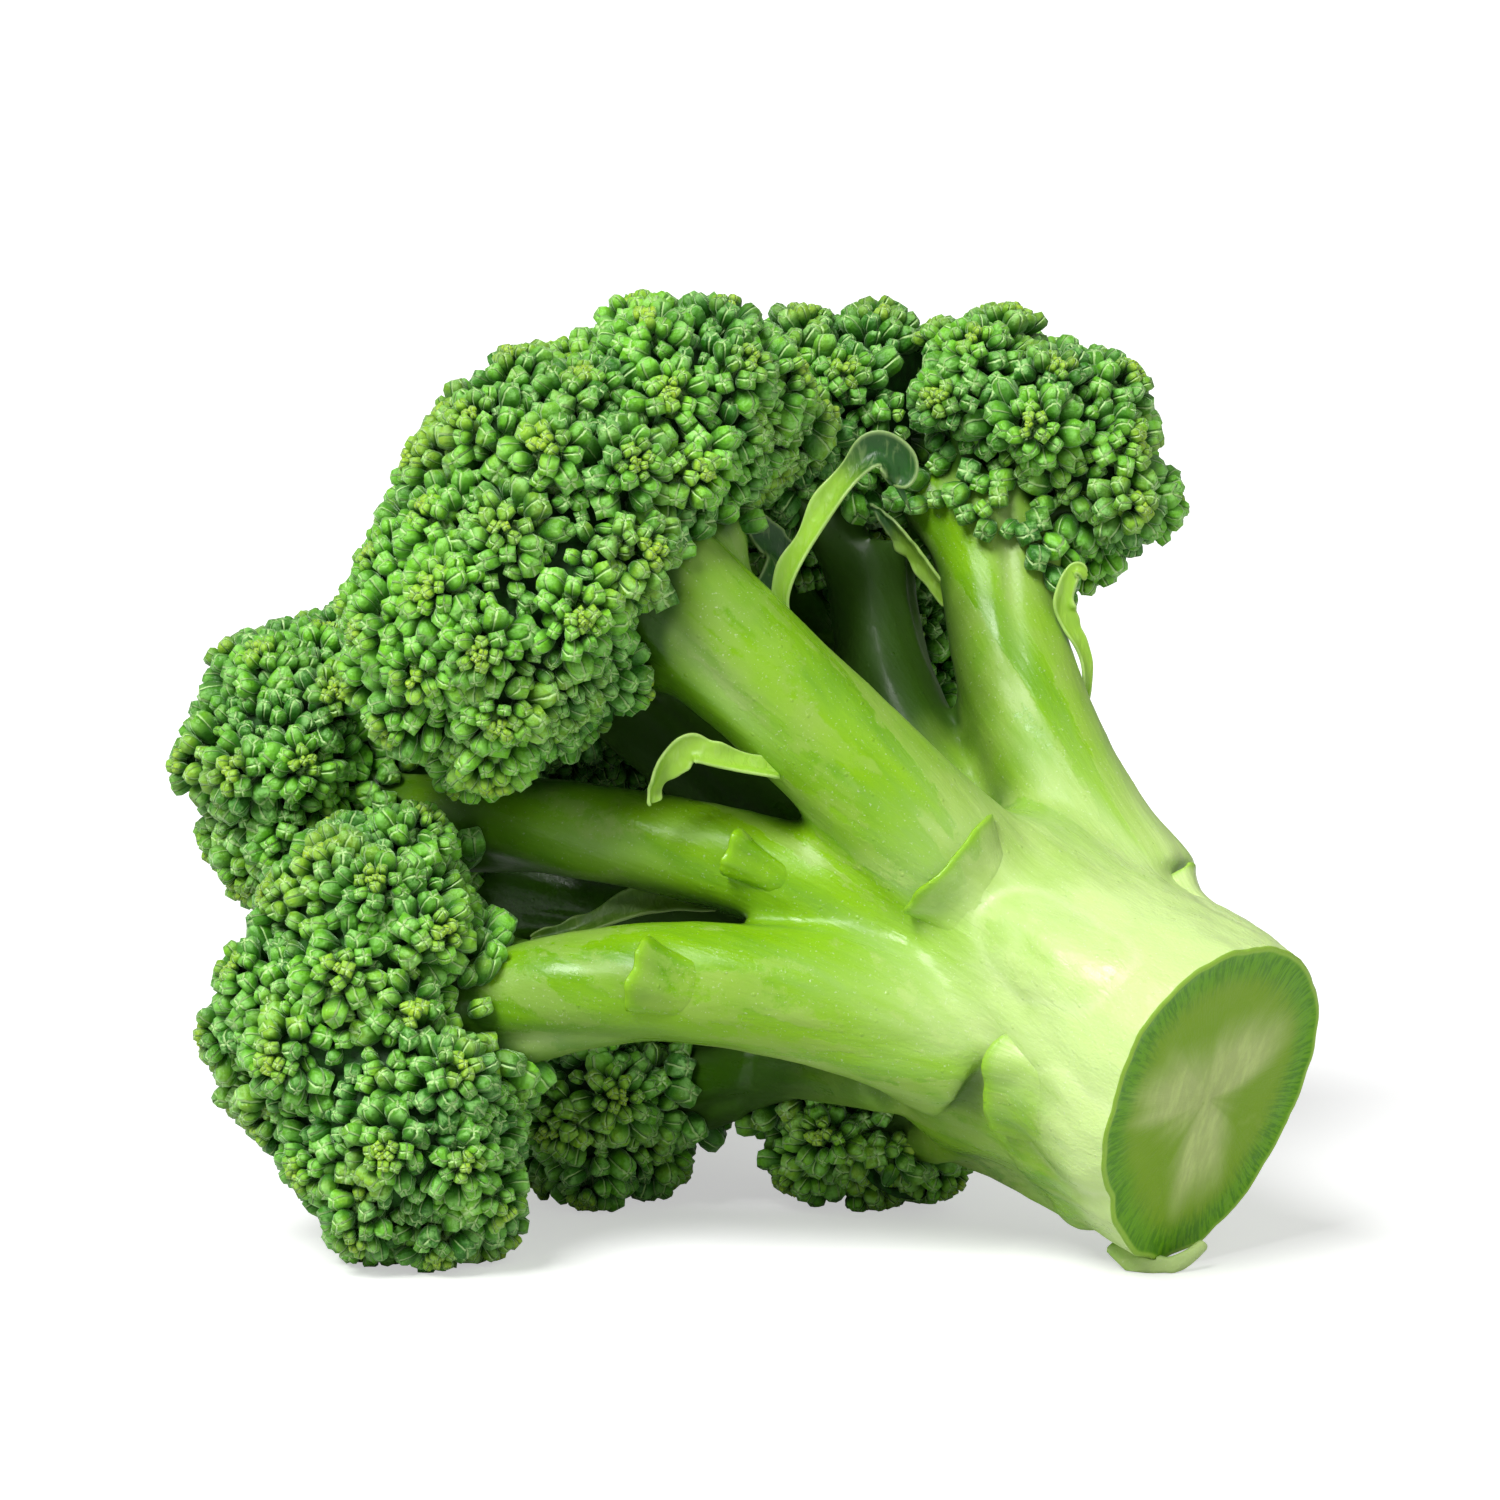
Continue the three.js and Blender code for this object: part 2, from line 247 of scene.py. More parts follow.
def cut_plane():
    """Middle and outward normal of the stalk's cut end: its largest flat face."""
    groups = {}
    for face in NODES["stalk"].data.polygons:
        key = tuple(round(c, 2) for c in face.normal)
        groups.setdefault(key, []).append(face)
    flat = max(groups.values(), key=lambda faces: sum(f.area for f in faces))
    area = sum(f.area for f in flat)
    middle = sum((f.center * f.area for f in flat), Vector()) / area
    return middle, flat[0].normal.copy()


CUT_MIDDLE, CUT_NORMAL = cut_plane()
CUT_SIDE = CUT_NORMAL.cross(UP).normalized()
CUT_TOP = CUT_SIDE.cross(CUT_NORMAL)
LOBE_TURN = math.radians(48)  # turns the pith's three lobes
GRAIN_ORIGIN = CUT_MIDDLE + CUT_NORMAL * 25 * MM  # the stems' streaks fan out from here
STALK_LENGTH = 33 * MM
FORK = CUT_MIDDLE - CUT_NORMAL * STALK_LENGTH
STEMS = "stalk_and_branches"


# ---------- node helpers ----------


class Value:
    """A node's output, which adds, subtracts and multiplies like a number."""

    def __init__(self, shader, socket):
        self.shader = shader
        self.socket = socket

    def __add__(self, other):
        return self.shader.math("ADD", self, other)

    def __sub__(self, other):
        return self.shader.math("SUBTRACT", self, other)

    def __rsub__(self, other):
        return self.shader.math("SUBTRACT", other, self)

    def __mul__(self, other):
        return self.shader.math("MULTIPLY", self, other)


class Shader:
    """A node tree with short calls for the nodes that these materials use."""

    def __init__(self, tree):
        self.tree = tree

    def add(self, kind, **values):
        """A node of a kind, with attributes by name."""
        node = self.tree.nodes.new(kind)
        for key, value in values.items():
            setattr(node, key, value)
        return node

    def feed(self, socket, value):
        """Links a socket, or sets its value."""
        if isinstance(value, Value):
            self.tree.links.new(value.socket, socket)
        elif value is not None:
            size = len(socket.default_value) if hasattr(socket.default_value, "__len__") else 0
            if size and not hasattr(value, "__len__"):
                value = [value] * size
            socket.default_value = (*value, 1) if size == 4 and len(value) == 3 else value

    def fill(self, node, *values, **named):
        """Feeds a node's inputs, in order or by name."""
        for socket, value in zip(node.inputs, values):
            self.feed(socket, value)
        for name, value in named.items():
            self.feed(node.inputs[name.replace("_", " ")], value)
        return node

    def made(self, kind, values, out=0, **attributes):
        """One output of a new node, with its inputs fed in order."""
        return Value(self, self.fill(self.add(kind, **attributes), *values).outputs[out])

    def math(self, operation, *values):
        """A Math node's output."""
        return self.made("ShaderNodeMath", values, operation=operation)

    def vector(self, operation, a, b=None, scale=None):
        """A Vector Math node's vector output, or its value output for a length."""
        out = 1 if operation == "LENGTH" else 0
        return self.made("ShaderNodeVectorMath", (a, b, None, scale), out, operation=operation)

    def noise(self, vector, scale, detail, roughness, distortion=0.0):
        """A noise texture's output."""
        node = self.fill(self.add("ShaderNodeTexNoise"), Vector=vector, Scale=scale, Detail=detail)
        self.fill(node, Roughness=roughness, Distortion=distortion)
        return Value(self, node.outputs["Fac"])

    def ramp(self, value, low, high, to_low=0.0, to_high=1.0):
        """Maps low..high onto another range, smoothly and clamped."""
        values = (value, low, high, to_low, to_high)
        return self.made("ShaderNodeMapRange", values, interpolation_type="SMOOTHSTEP")

    def mix(self, share, a, b, blend="MIX"):
        """A colour between a and b."""
        node = self.add("ShaderNodeMix", data_type="RGBA", blend_type=blend)
        for place, value in ((0, share), (6, a), (7, b)):
            self.feed(node.inputs[place], value)
        return Value(self, node.outputs[2])

    def attribute(self, name, out="Fac"):
        """A mesh attribute's value."""
        return self.made("ShaderNodeAttribute", (), out, attribute_name=name)

    def split(self, vector):
        """X, Y and Z of a vector."""
        node = self.fill(self.add("ShaderNodeSeparateXYZ"), vector)
        return [Value(self, socket) for socket in node.outputs]

    def join(self, x, y, z):
        """A vector from X, Y and Z."""
        return self.made("ShaderNodeCombineXYZ", (x, y, z))

    def place(self):
        """Object coordinates."""
        return self.made("ShaderNodeTexCoord", (), "Object")

    def bump(self, height, distance, strength):
        """A normal from a height times a distance in metres."""
        node = self.fill(self.add("ShaderNodeBump"), Strength=strength, Distance=distance, Height=height)
        return Value(self, node.outputs[0])


def new_material(name, **sockets):
    """A material with a Principled BSDF, whose plain values are set on its own sockets."""
    material = bpy.data.materials.new(name)
    material.use_nodes = True
    shader = Shader(material.node_tree)
    surface = shader.fill(material.node_tree.nodes["Principled BSDF"], **sockets)
    return material, shader, surface


def by_name(shader, sockets):
    """Sockets as values, by name."""
    return {socket.name: Value(shader, socket) for socket in sockets}


def new_group(name, inputs, outputs):
    """A shader node group with named inputs and outputs, each a name and a kind."""
    tree = bpy.data.node_groups.new(name, "ShaderNodeTree")
    for way, sockets in (("INPUT", inputs), ("OUTPUT", outputs)):
        for label, kind in sockets.items():
            tree.interface.new_socket(label, in_out=way, socket_type=f"NodeSocket{kind}")
    shader = Shader(tree)
    start = shader.add("NodeGroupInput")
    return tree, shader, by_name(shader, start.outputs), shader.add("NodeGroupOutput")


def use_group(shader, tree, **values):
    """Places a node group in a material, feeds its inputs and gives its outputs by name."""
    node = shader.fill(shader.add("ShaderNodeGroup", node_tree=tree), **values)
    return by_name(shader, node.outputs)


def toned(colour, factor):
    """A colour made darker or lighter."""
    return tuple(min(1, c * factor) for c in colour)


# ---------- materials ----------

FLORET_SHADE_TINT = (0.56, 0.66, 0.75)  # painted shade: multiplies the skin of the stems' upper ends, under the florets
SPECK = (0.80, 0.88, 0.66)
SCAR = (0.80, 0.92, 0.52)
WET_FLESH = (0.72, 0.8, 0.4)
GRAIN_RADIUS = 62.0  # how finely the grain divides the stems, in millimetres
DASHES = 26.0  # how finely the dashes divide the cut end's edge


def grain_group():
    """Coordinates in millimetres that are stretched along the stems, which all fan out from the stalk."""
    inputs = {"Place": "Vector", "Stretch": "Float"}
    tree, s, start, end = new_group("Stem grain", inputs, {"Grain": "Vector", "Reach": "Float"})
    away = s.vector("SUBTRACT", start["Place"], tuple(GRAIN_ORIGIN))
    reach = s.vector("LENGTH", away) * (1 / MM)
    heading = s.vector("NORMALIZE", away)
    s.fill(end, Grain=s.vector("SCALE", heading, scale=reach * start["Stretch"] + GRAIN_RADIUS), Reach=reach)
    return tree


def wax_group():
    """Patches of whitish wax with crisp torn edges, fine specks of it, and scattered small drops."""
    inputs = {"Place": "Vector", "Grain": "Vector", "Cover": "Float"}
    outputs = {"Patches": "Float", "Specks": "Float", "Height": "Float"}
    tree, s, start, end = new_group("Wax bloom", inputs, outputs)
    broad = s.noise(start["Grain"], 0.07, 4, 0.6, 0.9)
    torn = s.noise(start["Place"], 420, 5, 0.7)
    edge = (torn - 0.5) * 0.2 + broad
    patches = s.ramp(edge - (0.97 - start["Cover"]), 0.0, 0.035)
    specks = s.ramp(s.noise(start["Place"], 2600, 2, 0.6), 0.62, 0.76)
    cells = s.fill(s.add("ShaderNodeTexVoronoi"), Vector=start["Place"], Scale=620)
    cells = by_name(s, cells.outputs)
    chosen = s.math("GREATER_THAN", s.split(cells["Color"])[0], 0.7)
    drops = s.ramp(cells["Distance"], 0.2, 0.05) * chosen
    s.fill(end, Patches=patches, Specks=specks, Height=drops * 1.6 + specks * 0.35 + patches * 0.6)
    return tree


def stem_material(settings, grain, wax):
    """Smooth yellow-green skin with darker bands along the stems, patches of wax, and a pale end, with
    painted shade on the stems' upper ends and deep inside the crown.
    """
    material, s, surface = new_material(
        "Stem skin",
        Subsurface_Weight=0.12,
        Subsurface_Radius=(0.9, 1.2, 0.3),
        Subsurface_Scale=0.0016,
        Coat_Roughness=0.22,
        Sheen_Weight=0.03,
        Sheen_Roughness=0.45,
        Sheen_Tint=(0.8, 1.0, 0.5),
        Specular_IOR_Level=0.27,
    )
    place = s.place()
    fan = use_group(s, grain, Place=place, Stretch=0.16)
    along, reach = fan["Grain"], fan["Reach"]
    bloom = use_group(s, wax, Place=place, Grain=along, Cover=0.49)
    bands = s.noise(along, 0.13, 4, 0.55, 0.6)
    veins = s.noise(along, 0.8, 3, 0.6)
    skin = s.mix(s.ramp(veins * 0.16 + bands, 0.44, 0.74), settings.skin, settings.deep)
    soft = s.noise(place, 140, 3, 0.5)
    skin = s.mix(bloom["Patches"] * s.ramp(soft, 0.3, 0.65, 0.25, 0.8), skin, settings.bloom)
    blotch = s.noise(along, 1.3, 4, 0.7)
    skin = s.mix(s.ramp(blotch, 0.62, 0.8, 0.0, 0.45), skin, settings.deep)
    # painted shade: the skin darkens and turns bluish further from the cut, towards the florets that shade
    # it
    shade_near_florets = s.ramp(soft * 30.0 + reach, 85, 140, 0.0, 0.65)
    skin = s.mix(shade_near_florets, skin, s.mix(1.0, skin, FLORET_SHADE_TINT, "MULTIPLY"))
    # the pale skin ends nearer the cut on the stalk's underside
    under = s.ramp(s.split(place)[2], 0.032, 0.014, 0.0, 42.0) * s.ramp(reach, 30, 44)
    skin = s.mix(s.ramp(bands * -44.0 + reach + under, 58, 15, 0.0, 0.92), skin, settings.pale)
    skin = s.mix(bloom["Specks"] * 0.3, skin, SPECK)
    skin = s.mix(s.attribute("border") * 0.22, skin, SCAR)
    skin = s.mix(s.attribute("fin") * 0.85, skin, toned(settings.skin, 1.1))
    # painted shade: where the baked occlusion is high, the skin darkens to the inner colour
    skin = s.mix(s.ramp(s.attribute("shelter"), 0.47, 0.92, 0.0, 0.93), skin, settings.inner)
    gloss = s.ramp(s.noise(along, 0.4, 3, 0.6), 0.35, 0.7, 0.24, 0.46)
    coat = s.ramp(s.noise(along, 0.3, 2, 0.5), 0.45, 0.75, 0.03, 0.28)
    ridges = s.noise(along, 1.1, 2, 0.5) * 0.5
    pores = s.noise(place, 1900, 3, 0.6) * 0.18
    normal = s.bump(ridges + pores + bloom["Height"] * 0.2, 0.3 * MM, 0.7)
    roughness = bloom["Patches"] * 0.16 + gloss
    s.fill(surface, Base_Color=skin, Roughness=roughness, Coat_Weight=coat, Normal=normal)
    return material


def cut_material(settings):
    """The cut end: a bright rind, a green ring with dark dashes that run inwards, flesh, and a pale pith."""
    material, s, surface = new_material(
        "Cut end",
        Subsurface_Weight=0.1,
        Subsurface_Radius=(0.8, 1.1, 0.4),
        Subsurface_Scale=0.0015,
        Specular_IOR_Level=0.22,
        Coat_Weight=0.06,
        Coat_Roughness=0.3,
    )
    x, y, depth = s.split(s.attribute("cut_polar", "Vector"))
    fibres = s.noise(s.join(x * DASHES, y * DASHES, depth * 0.2), 1.25, 3, 0.8)
    swing = fibres - 0.5
    broad = s.noise(s.join(x * 3.0, y * 3.0, 0.0), 0.55, 2, 0.5)
    place = s.place()
    wet = s.noise(place, 260, 4, 0.6)
    dashes = s.ramp(fibres, 0.44, 0.58) * s.ramp(depth, 0.5, 1.1) * s.ramp(broad * 4.0 + depth, 8.4, 4.2)
    lobes = three_times(x, 1) * math.cos(LOBE_TURN) + three_times(y, -1) * math.sin(LOBE_TURN)
    pith_depth = (broad - 0.5) * 14.0 + (lobes * 3.6 + depth)
    streaks = s.noise(s.vector("MULTIPLY", place, (600, 600, 60)), 1.0, 4, 0.7)
    pith = s.mix(s.ramp(streaks, 0.4, 0.68), settings.pith, toned(settings.pith, 1.22))
    tone = s.mix(s.ramp(swing * 4.5 + depth, 2.0, 5.2), settings.ring, settings.flesh)
    tone = s.mix(s.ramp(swing * 1.2 + pith_depth, 6.0, 15.0), tone, pith)
    tone = s.mix(dashes * 0.82, tone, settings.fibre)
    tone = s.mix(s.ramp(depth, 0.55, 0.9), settings.rind, tone)
    tone = s.mix(s.ramp(wet, 0.58, 0.8, 0.0, 0.08), tone, WET_FLESH)
    normal = s.bump(fibres * 0.5 + s.noise(place, 1500, 3, 0.6) * 0.3, 0.3 * MM, 0.6)
    s.fill(surface, Base_Color=tone, Roughness=s.ramp(wet, 0.3, 0.7, 0.3, 0.5), Normal=normal)
    return material


def three_times(part, sign):
    """Cosine (sign 1) or sine (sign -1) of three times an angle from the angle's own cosine or sine."""
    return part * (-3.0 * sign) + part * part * (part * (4.0 * sign))


def bud_material(settings):
    """Waxy sepals: green by the bud's age, bluish wax that also paints a highlight on the tips, painted
    shade at the feet and in the grooves, and thin pale seams that meet at the tip.
    """
    material, s, surface = new_material(
        "Buds",
        Specular_IOR_Level=0.45,
        Sheen_Weight=0.45,
        Sheen_Roughness=0.32,
        Sheen_Tint=(0.62, 1.0, 0.5),
    )
    place = s.place()
    age = s.attribute("age")
    u, v, _ = s.split(s.made("ShaderNodeUVMap", (), uv_map="bud"))
    # how far a spot is from the seams on either side of its sepal
    across = s.math("FRACT", u * 4.0)
    breadth = s.math("SINE", v * math.pi)
    wobble = (s.noise(place, 700, 3, 0.6) - 0.5) * 0.1
    from_seam = across * breadth + wobble
    seam = s.math("MINIMUM", from_seam, (1.0 - across) * breadth + wobble)
    line = s.ramp(from_seam, 0.0, 0.03) * s.ramp(from_seam, 0.1, 0.05) * s.ramp(v, 0.35, 0.55)
    # painted shade mask: the grooves between the sepals
    groove_shade = s.ramp(seam, 0.045, 0.0) * s.ramp(v, 0.3, 0.5)
    shade = (s.noise(place, 45, 2, 0.5) - 0.5) * 1.6 + s.attribute("tint")
    base = s.mix(s.ramp(shade, 0.0, 1.0), settings.dark, settings.green)
    base = s.mix(s.ramp(age, 0.5, 0.0), base, settings.young)
    base = s.mix(s.ramp(s.noise(place, 75, 3, 0.6), 0.48, 0.72, 0.0, 0.6), base, settings.young)
    cloud = s.noise(place, 800, 4, 0.65)
    # partly real wax and partly painted highlight: the bluish wax lies thickest towards the buds' tips
    wax_and_highlight = s.ramp(cloud, 0.42, 0.6) * s.ramp(v, 0.5, 0.95, 0.1, 0.85) * s.ramp(age, 0.1, 0.8, 0.3, 0.8)
    base = s.mix(wax_and_highlight, base, settings.bloom)
    # painted shade: each bud darkens towards its foot, down among the other buds
    base = s.mix(s.ramp(v, 0.76, 0.42, 0.0, 0.92), base, toned(settings.dark, 0.75))
    # painted shade in the grooves between the sepals
    base = s.mix(groove_shade * 0.85, base, toned(settings.dark, 0.7))
    base = s.mix(line * 0.75, base, settings.seam)
    groove = s.ramp(seam, 0.0, 0.1, -1.0, 0.0)
    normal = s.bump(s.noise(place, 1300, 4, 0.6) * 1.3 + groove, 0.26 * MM, 0.9)
    s.fill(surface, Base_Color=base, Roughness=s.ramp(cloud, 0.3, 0.7, 0.3, 0.55), Normal=normal)
    return material


def core_shade_material(settings):
    """Painted shade between the buds: a mottled, near-black green on the body under them."""
    material, s, surface = new_material("Floret core")
    mottle = s.noise(s.place(), 500, 4, 0.65)
    base = s.mix(s.ramp(mottle, 0.35, 0.7), toned(settings.dark, 0.25), toned(settings.dark, 0.8))
    roughness = s.ramp(mottle, 0.3, 0.7, 0.6, 0.85)
    s.fill(surface, Base_Color=base, Roughness=roughness, Normal=s.bump(mottle, 0.6 * MM, 0.8))
    return material


def leaf_material(settings):
    """Thin leaf: from pale yellow green to dark green, veined, with a pale root and rim."""
    material, s, surface = new_material(
        "Leaf",
        Subsurface_Weight=0.15,
        Subsurface_Radius=(0.6, 1.0, 0.2),
        Subsurface_Scale=0.001,
        Sheen_Weight=0.03,
        Sheen_Tint=(0.8, 1.0, 0.75),
    )
    place = s.place()
    vein = s.noise(s.vector("MULTIPLY", place, (900, 900, 260)), 1.0, 3, 0.55, 0.6)
    soft = s.noise(place, 260, 3, 0.5)
    tone = (soft - 0.5) * 0.5 + s.attribute("tone")
    base = s.mix(s.ramp(tone, 0.1, 0.9), settings.light, settings.deep)
    base = s.mix(s.ramp(vein, 0.52, 0.68, 0.0, 0.18), base, settings.edge)
    base = s.mix(s.attribute("rim") * 0.5, base, settings.edge)
    roughness = s.ramp(soft, 0.3, 0.7, 0.3, 0.5)
    s.fill(surface, Base_Color=base, Roughness=roughness, Normal=s.bump(vein, 0.35 * MM, 0.6))
    return material


# ---------- stalk and branches ----------

# the cut end's rings, from the edge inwards: share of the radius, and rise in millimetres
CUT_RINGS = [(0.988, 0.22), (0.975, 0.06), (0.95, -0.16), (0.92, -0.1), (0.88, 0.0), (0.84, 0.0), (0.8, 0.0)]
CUT_RINGS += [(share / 100, 0.0) for share in range(75, 4, -5)]
INNER_BRANCHES = ["branch_middle", "branch_heart", "branch_low_back", "branch_behind_right"]
# cushions where leaf stalks ran in, each below a stub: distance, half length, half width, height, in mm
CUSHIONS = {
    "stub_low": (9.5, 10.5, 8.0, 1.3),
    "stub_top": (7.0, 9.0, 6.5, 0.9),
    "stub_front": (10.0, 12.0, 6.5, 1.3),
}
CUSHION_STEP, CUSHION_WOBBLE = 0.16, 0.26  # height of the edge in millimetres, unevenness of the outline
RIDGES = ((0.42, 0.16), (0.16, 0.5))  # along the stems: height in millimetres, and fineness
CREASE_WIDTH = 0.2  # radians
CREASE_DEPTH = 1.0  # millimetres
CREASE_REACH = 27 * MM
CREASE_FADE = (-25 * MM, -6 * MM)  # along the branch, from its end
CREASE_TURNS = (0, 105, -120)  # degrees round each branch, from the front
THIN_STEMS = 11  # under each floret
TWIG = 1.3 * MM  # a thin stem's radius at its end
TWIG_SUNK = 4.5  # millimetres from a rosette's middle to its stem's end
# a thin stem's root, bend and radius at the root, as shares of its branch's thickness
TWIG_ROOT, TWIG_BEND, TWIG_THICK = 0.42, 0.64, 0.48
PAST_CUT = 5 * MM
SHADE_RAYS = 40
SHADE_REACH = 70 * MM
SHADE_CELL = 2.0 * MM
GROUNDWARD = -0.55  # rays that point lower than this count as closed off
INNER_STEM_SHADE, INNER_FADE = 0.5, (24 * MM, 46 * MM)  # painted shade: inner stems darken with their distance from the fork
HEART_SHADE, HEART_FADE = 0.22, (38 * MM, 22 * MM)  # and painted shade on everything near the crown's middle


def to_root(spot):
    """The way along the stems from a spot towards the cut end."""
    return (GRAIN_ORIGIN - spot).normalized()


def leaf_bases(stem_tree):
    """The cushions as their middle, their way along the stem, half length, half width and height."""
    found = []
    for name, (past, *sizes) in CUSHIONS.items():
        low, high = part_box(name)
        spot = (low + high) / 2
        way = to_root(spot)
        found.append((stem_tree.find_nearest(spot + way * past * MM)[0], way, *sizes))
    return found


def cushion_rise(spot, cushion):
    """How high a cushion stands at a spot, in millimetres, and how near the spot is to its edge (0 to 1)."""
    middle, way, long, wide, height = cushion
    away = (spot - middle) / MM
    along = away.dot(way)
    across = (away - way * along).length
    d = math.hypot(along / long, across / wide) + CUSHION_WOBBLE * noise.noise(spot / MM * 0.14)
    near_edge = math.exp(-(((d - 1) / 0.08) ** 2))
    return height * max(0.0, 1 - d * d) ** 1.2 + CUSHION_STEP * step(1.05, 0.9, d), near_edge


def folds_of(floret):
    """A spot on a floret's branch, the way out along it, and the sides on which creases run down it."""
    way = (floret.neck - FORK).normalized()
    front = Vector((0.3 * math.sin(2.1 * FLORETS.index(floret.name)), -1, -0.35))
    front = (front - way * front.dot(way)).normalized()
    return floret.neck, way, [Matrix.Rotation(math.radians(turn), 3, way) @ front for turn in CREASE_TURNS]


def crease(spot, folded):
    """How near a spot is to the bottom of a crease, from 0 to 1."""
    nearest = 0.0
    for neck, way, sides in folded:
        away = spot - neck
        if away.length > CREASE_REACH:
            continue
        along = away.dot(way)
        across = away - way * along
        for side in sides:
            turn = across.angle(side, 3.0) / CREASE_WIDTH
            if turn < 2.5:
                nearest = max(nearest, math.exp(-turn * turn) * step(*CREASE_FADE, along))
    return nearest


def tube(bm, path, radius_at):
    """A stem along a list of points, as overlapping cones with a ball at each joint."""
    for i, (start, end) in enumerate(zip(path, path[1:])):
        way = end - start
        wide, narrow = (radius_at(j / (len(path) - 1)) for j in (i, i + 1))
        matrix = Matrix.Translation((start + end) / 2) @ aim(way.normalized(), 0)
        shape = dict(segments=10, radius1=wide, radius2=narrow, depth=way.length, cap_ends=True)
        bmesh.ops.create_cone(bm, matrix=matrix, **shape)
        bmesh.ops.create_icosphere(bm, subdivisions=1, radius=narrow * 1.03, matrix=Matrix.Translation(end))


def curve(start, bend, end, count):
    """Points along a quadratic curve."""
    shares = [i / (count - 1) for i in range(count)]
    return [start.lerp(bend, t).lerp(bend.lerp(end, t), t) for t in shares]


def fan_out(bm, floret):
    """Thinner stems that leave the branch's end and spread under the floret's rosettes."""
    way = (floret.tip - floret.neck).normalized()
    chosen = [max(floret.centres, key=lambda c: (c - floret.tip).length)]
    while len(chosen) < min(THIN_STEMS, len(floret.centres)):
        chosen.append(max(floret.centres, key=lambda c: min((c - other).length for other in chosen)))
    for centre in chosen:
        end = centre + (floret.tip - centre).normalized() * TWIG_SUNK * MM
        side = end - floret.neck
        side = (side - way * side.dot(way)).normalized()
        start = floret.neck + side * floret.thick * TWIG_ROOT
        bend = floret.tip + side * floret.thick * TWIG_BEND
        root = floret.thick * TWIG_THICK
        tube(bm, curve(start, bend, end, 7), lambda t: root + (TWIG - root) * t**0.7)


def paint_occlusion_shade(bm):
    """Stores painted shade: how far the open air round each spot is closed off, more so for the crown's
    inner stems and near the crown's middle.
    """
    tree = tree_of([*FLORETS, "stalk", *BRANCHES])
    inner_tree = tree_of(INNER_BRANCHES)
    rays = [Vector(d).normalized() for d in even_directions(SHADE_RAYS)]
    shelter = bm.verts.layers.float.new("shelter")
    known = {}
    heart = sum(((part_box(n)[0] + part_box(n)[1]) / 2 for n in FLORETS), Vector()) / len(FLORETS)
    for v in bm.verts:
        cell = tuple(round(c / SHADE_CELL) for c in (*v.co, *(v.normal * 1.5 * MM)))
        if cell not in known:
            start = v.co + v.normal * 1.2 * MM
            facing = [d for d in rays if d.dot(v.normal) > 0.1]
            met = [tree.ray_cast(start, d, SHADE_REACH)[0] is not None or d.z < GROUNDWARD for d in facing]
            known[cell] = sum(met) / len(facing)
        inner = inner_tree.find_nearest(v.co, 2 * MM)[0] is not None
        deep = INNER_STEM_SHADE * step(*INNER_FADE, (v.co - FORK).length) if inner else 0.0
        # painted shade: baked occlusion, plus darkening of the inner stems and of the crown's middle
        v[shelter] = known[cell] + max(deep, HEART_SHADE * step(*HEART_FADE, (v.co - heart).length))
    for _ in range(6):
        for v in bm.verts:
            around = [e.other_vert(v)[shelter] for e in v.link_edges]
            v[shelter] = 0.4 * v[shelter] + 0.6 * sum(around) / len(around)


def even_directions(count):
    """Directions spread evenly over a sphere."""
    for i in range(count):
        z = 1 - 2 * (i + 0.5) / count
        r = math.sqrt(1 - z * z)
        yield r * math.cos(i * GOLDEN_ANGLE), r * math.sin(i * GOLDEN_ANGLE), z


def make_stems(settings, florets, materials):
    """Joins the stalk and all branches into one smooth body and gives it a crisp cut end."""
    bm = merged(["stalk", *BRANCHES])
    for v in bm.verts:
        at_cut = abs((v.co - CUT_MIDDLE).dot(CUT_NORMAL)) < 0.05 * MM
        v.co += v.normal * settings.swell
        if at_cut:
            v.co += CUT_NORMAL * PAST_CUT
    for floret in florets:
        fan_out(bm, floret)
    bm = remeshed(bm, settings.voxel)
    relax(bm, settings.blend)
    cushions = leaf_bases(BVHTree.FromBMesh(bm))
    folded = [folds_of(floret) for floret in florets]
    border = bm.verts.layers.float.new("border")
    for v in bm.verts:
        away = v.co - GRAIN_ORIGIN
        along = away.normalized() * (60 + 0.12 * away.length / MM)
        swell = sum(height * noise.noise(along * fineness) for height, fineness in RIDGES)
        for cushion in cushions:
            rise, near_edge = cushion_rise(v.co, cushion)
            swell += rise
            v[border] = max(v[border], near_edge)
        fold = crease(v.co, folded)
        v[border] = max(v[border], 0.8 * fold)
        swell -= CREASE_DEPTH * fold
        v.co += v.normal * swell * MM
    relax(bm, 1)
    close_cut(bm)
    paint_occlusion_shade(bm)
    off_the_floor(bm)
    return handed(piece_from(bm, STEMS, materials), "stem", "stalk", *BRANCHES)


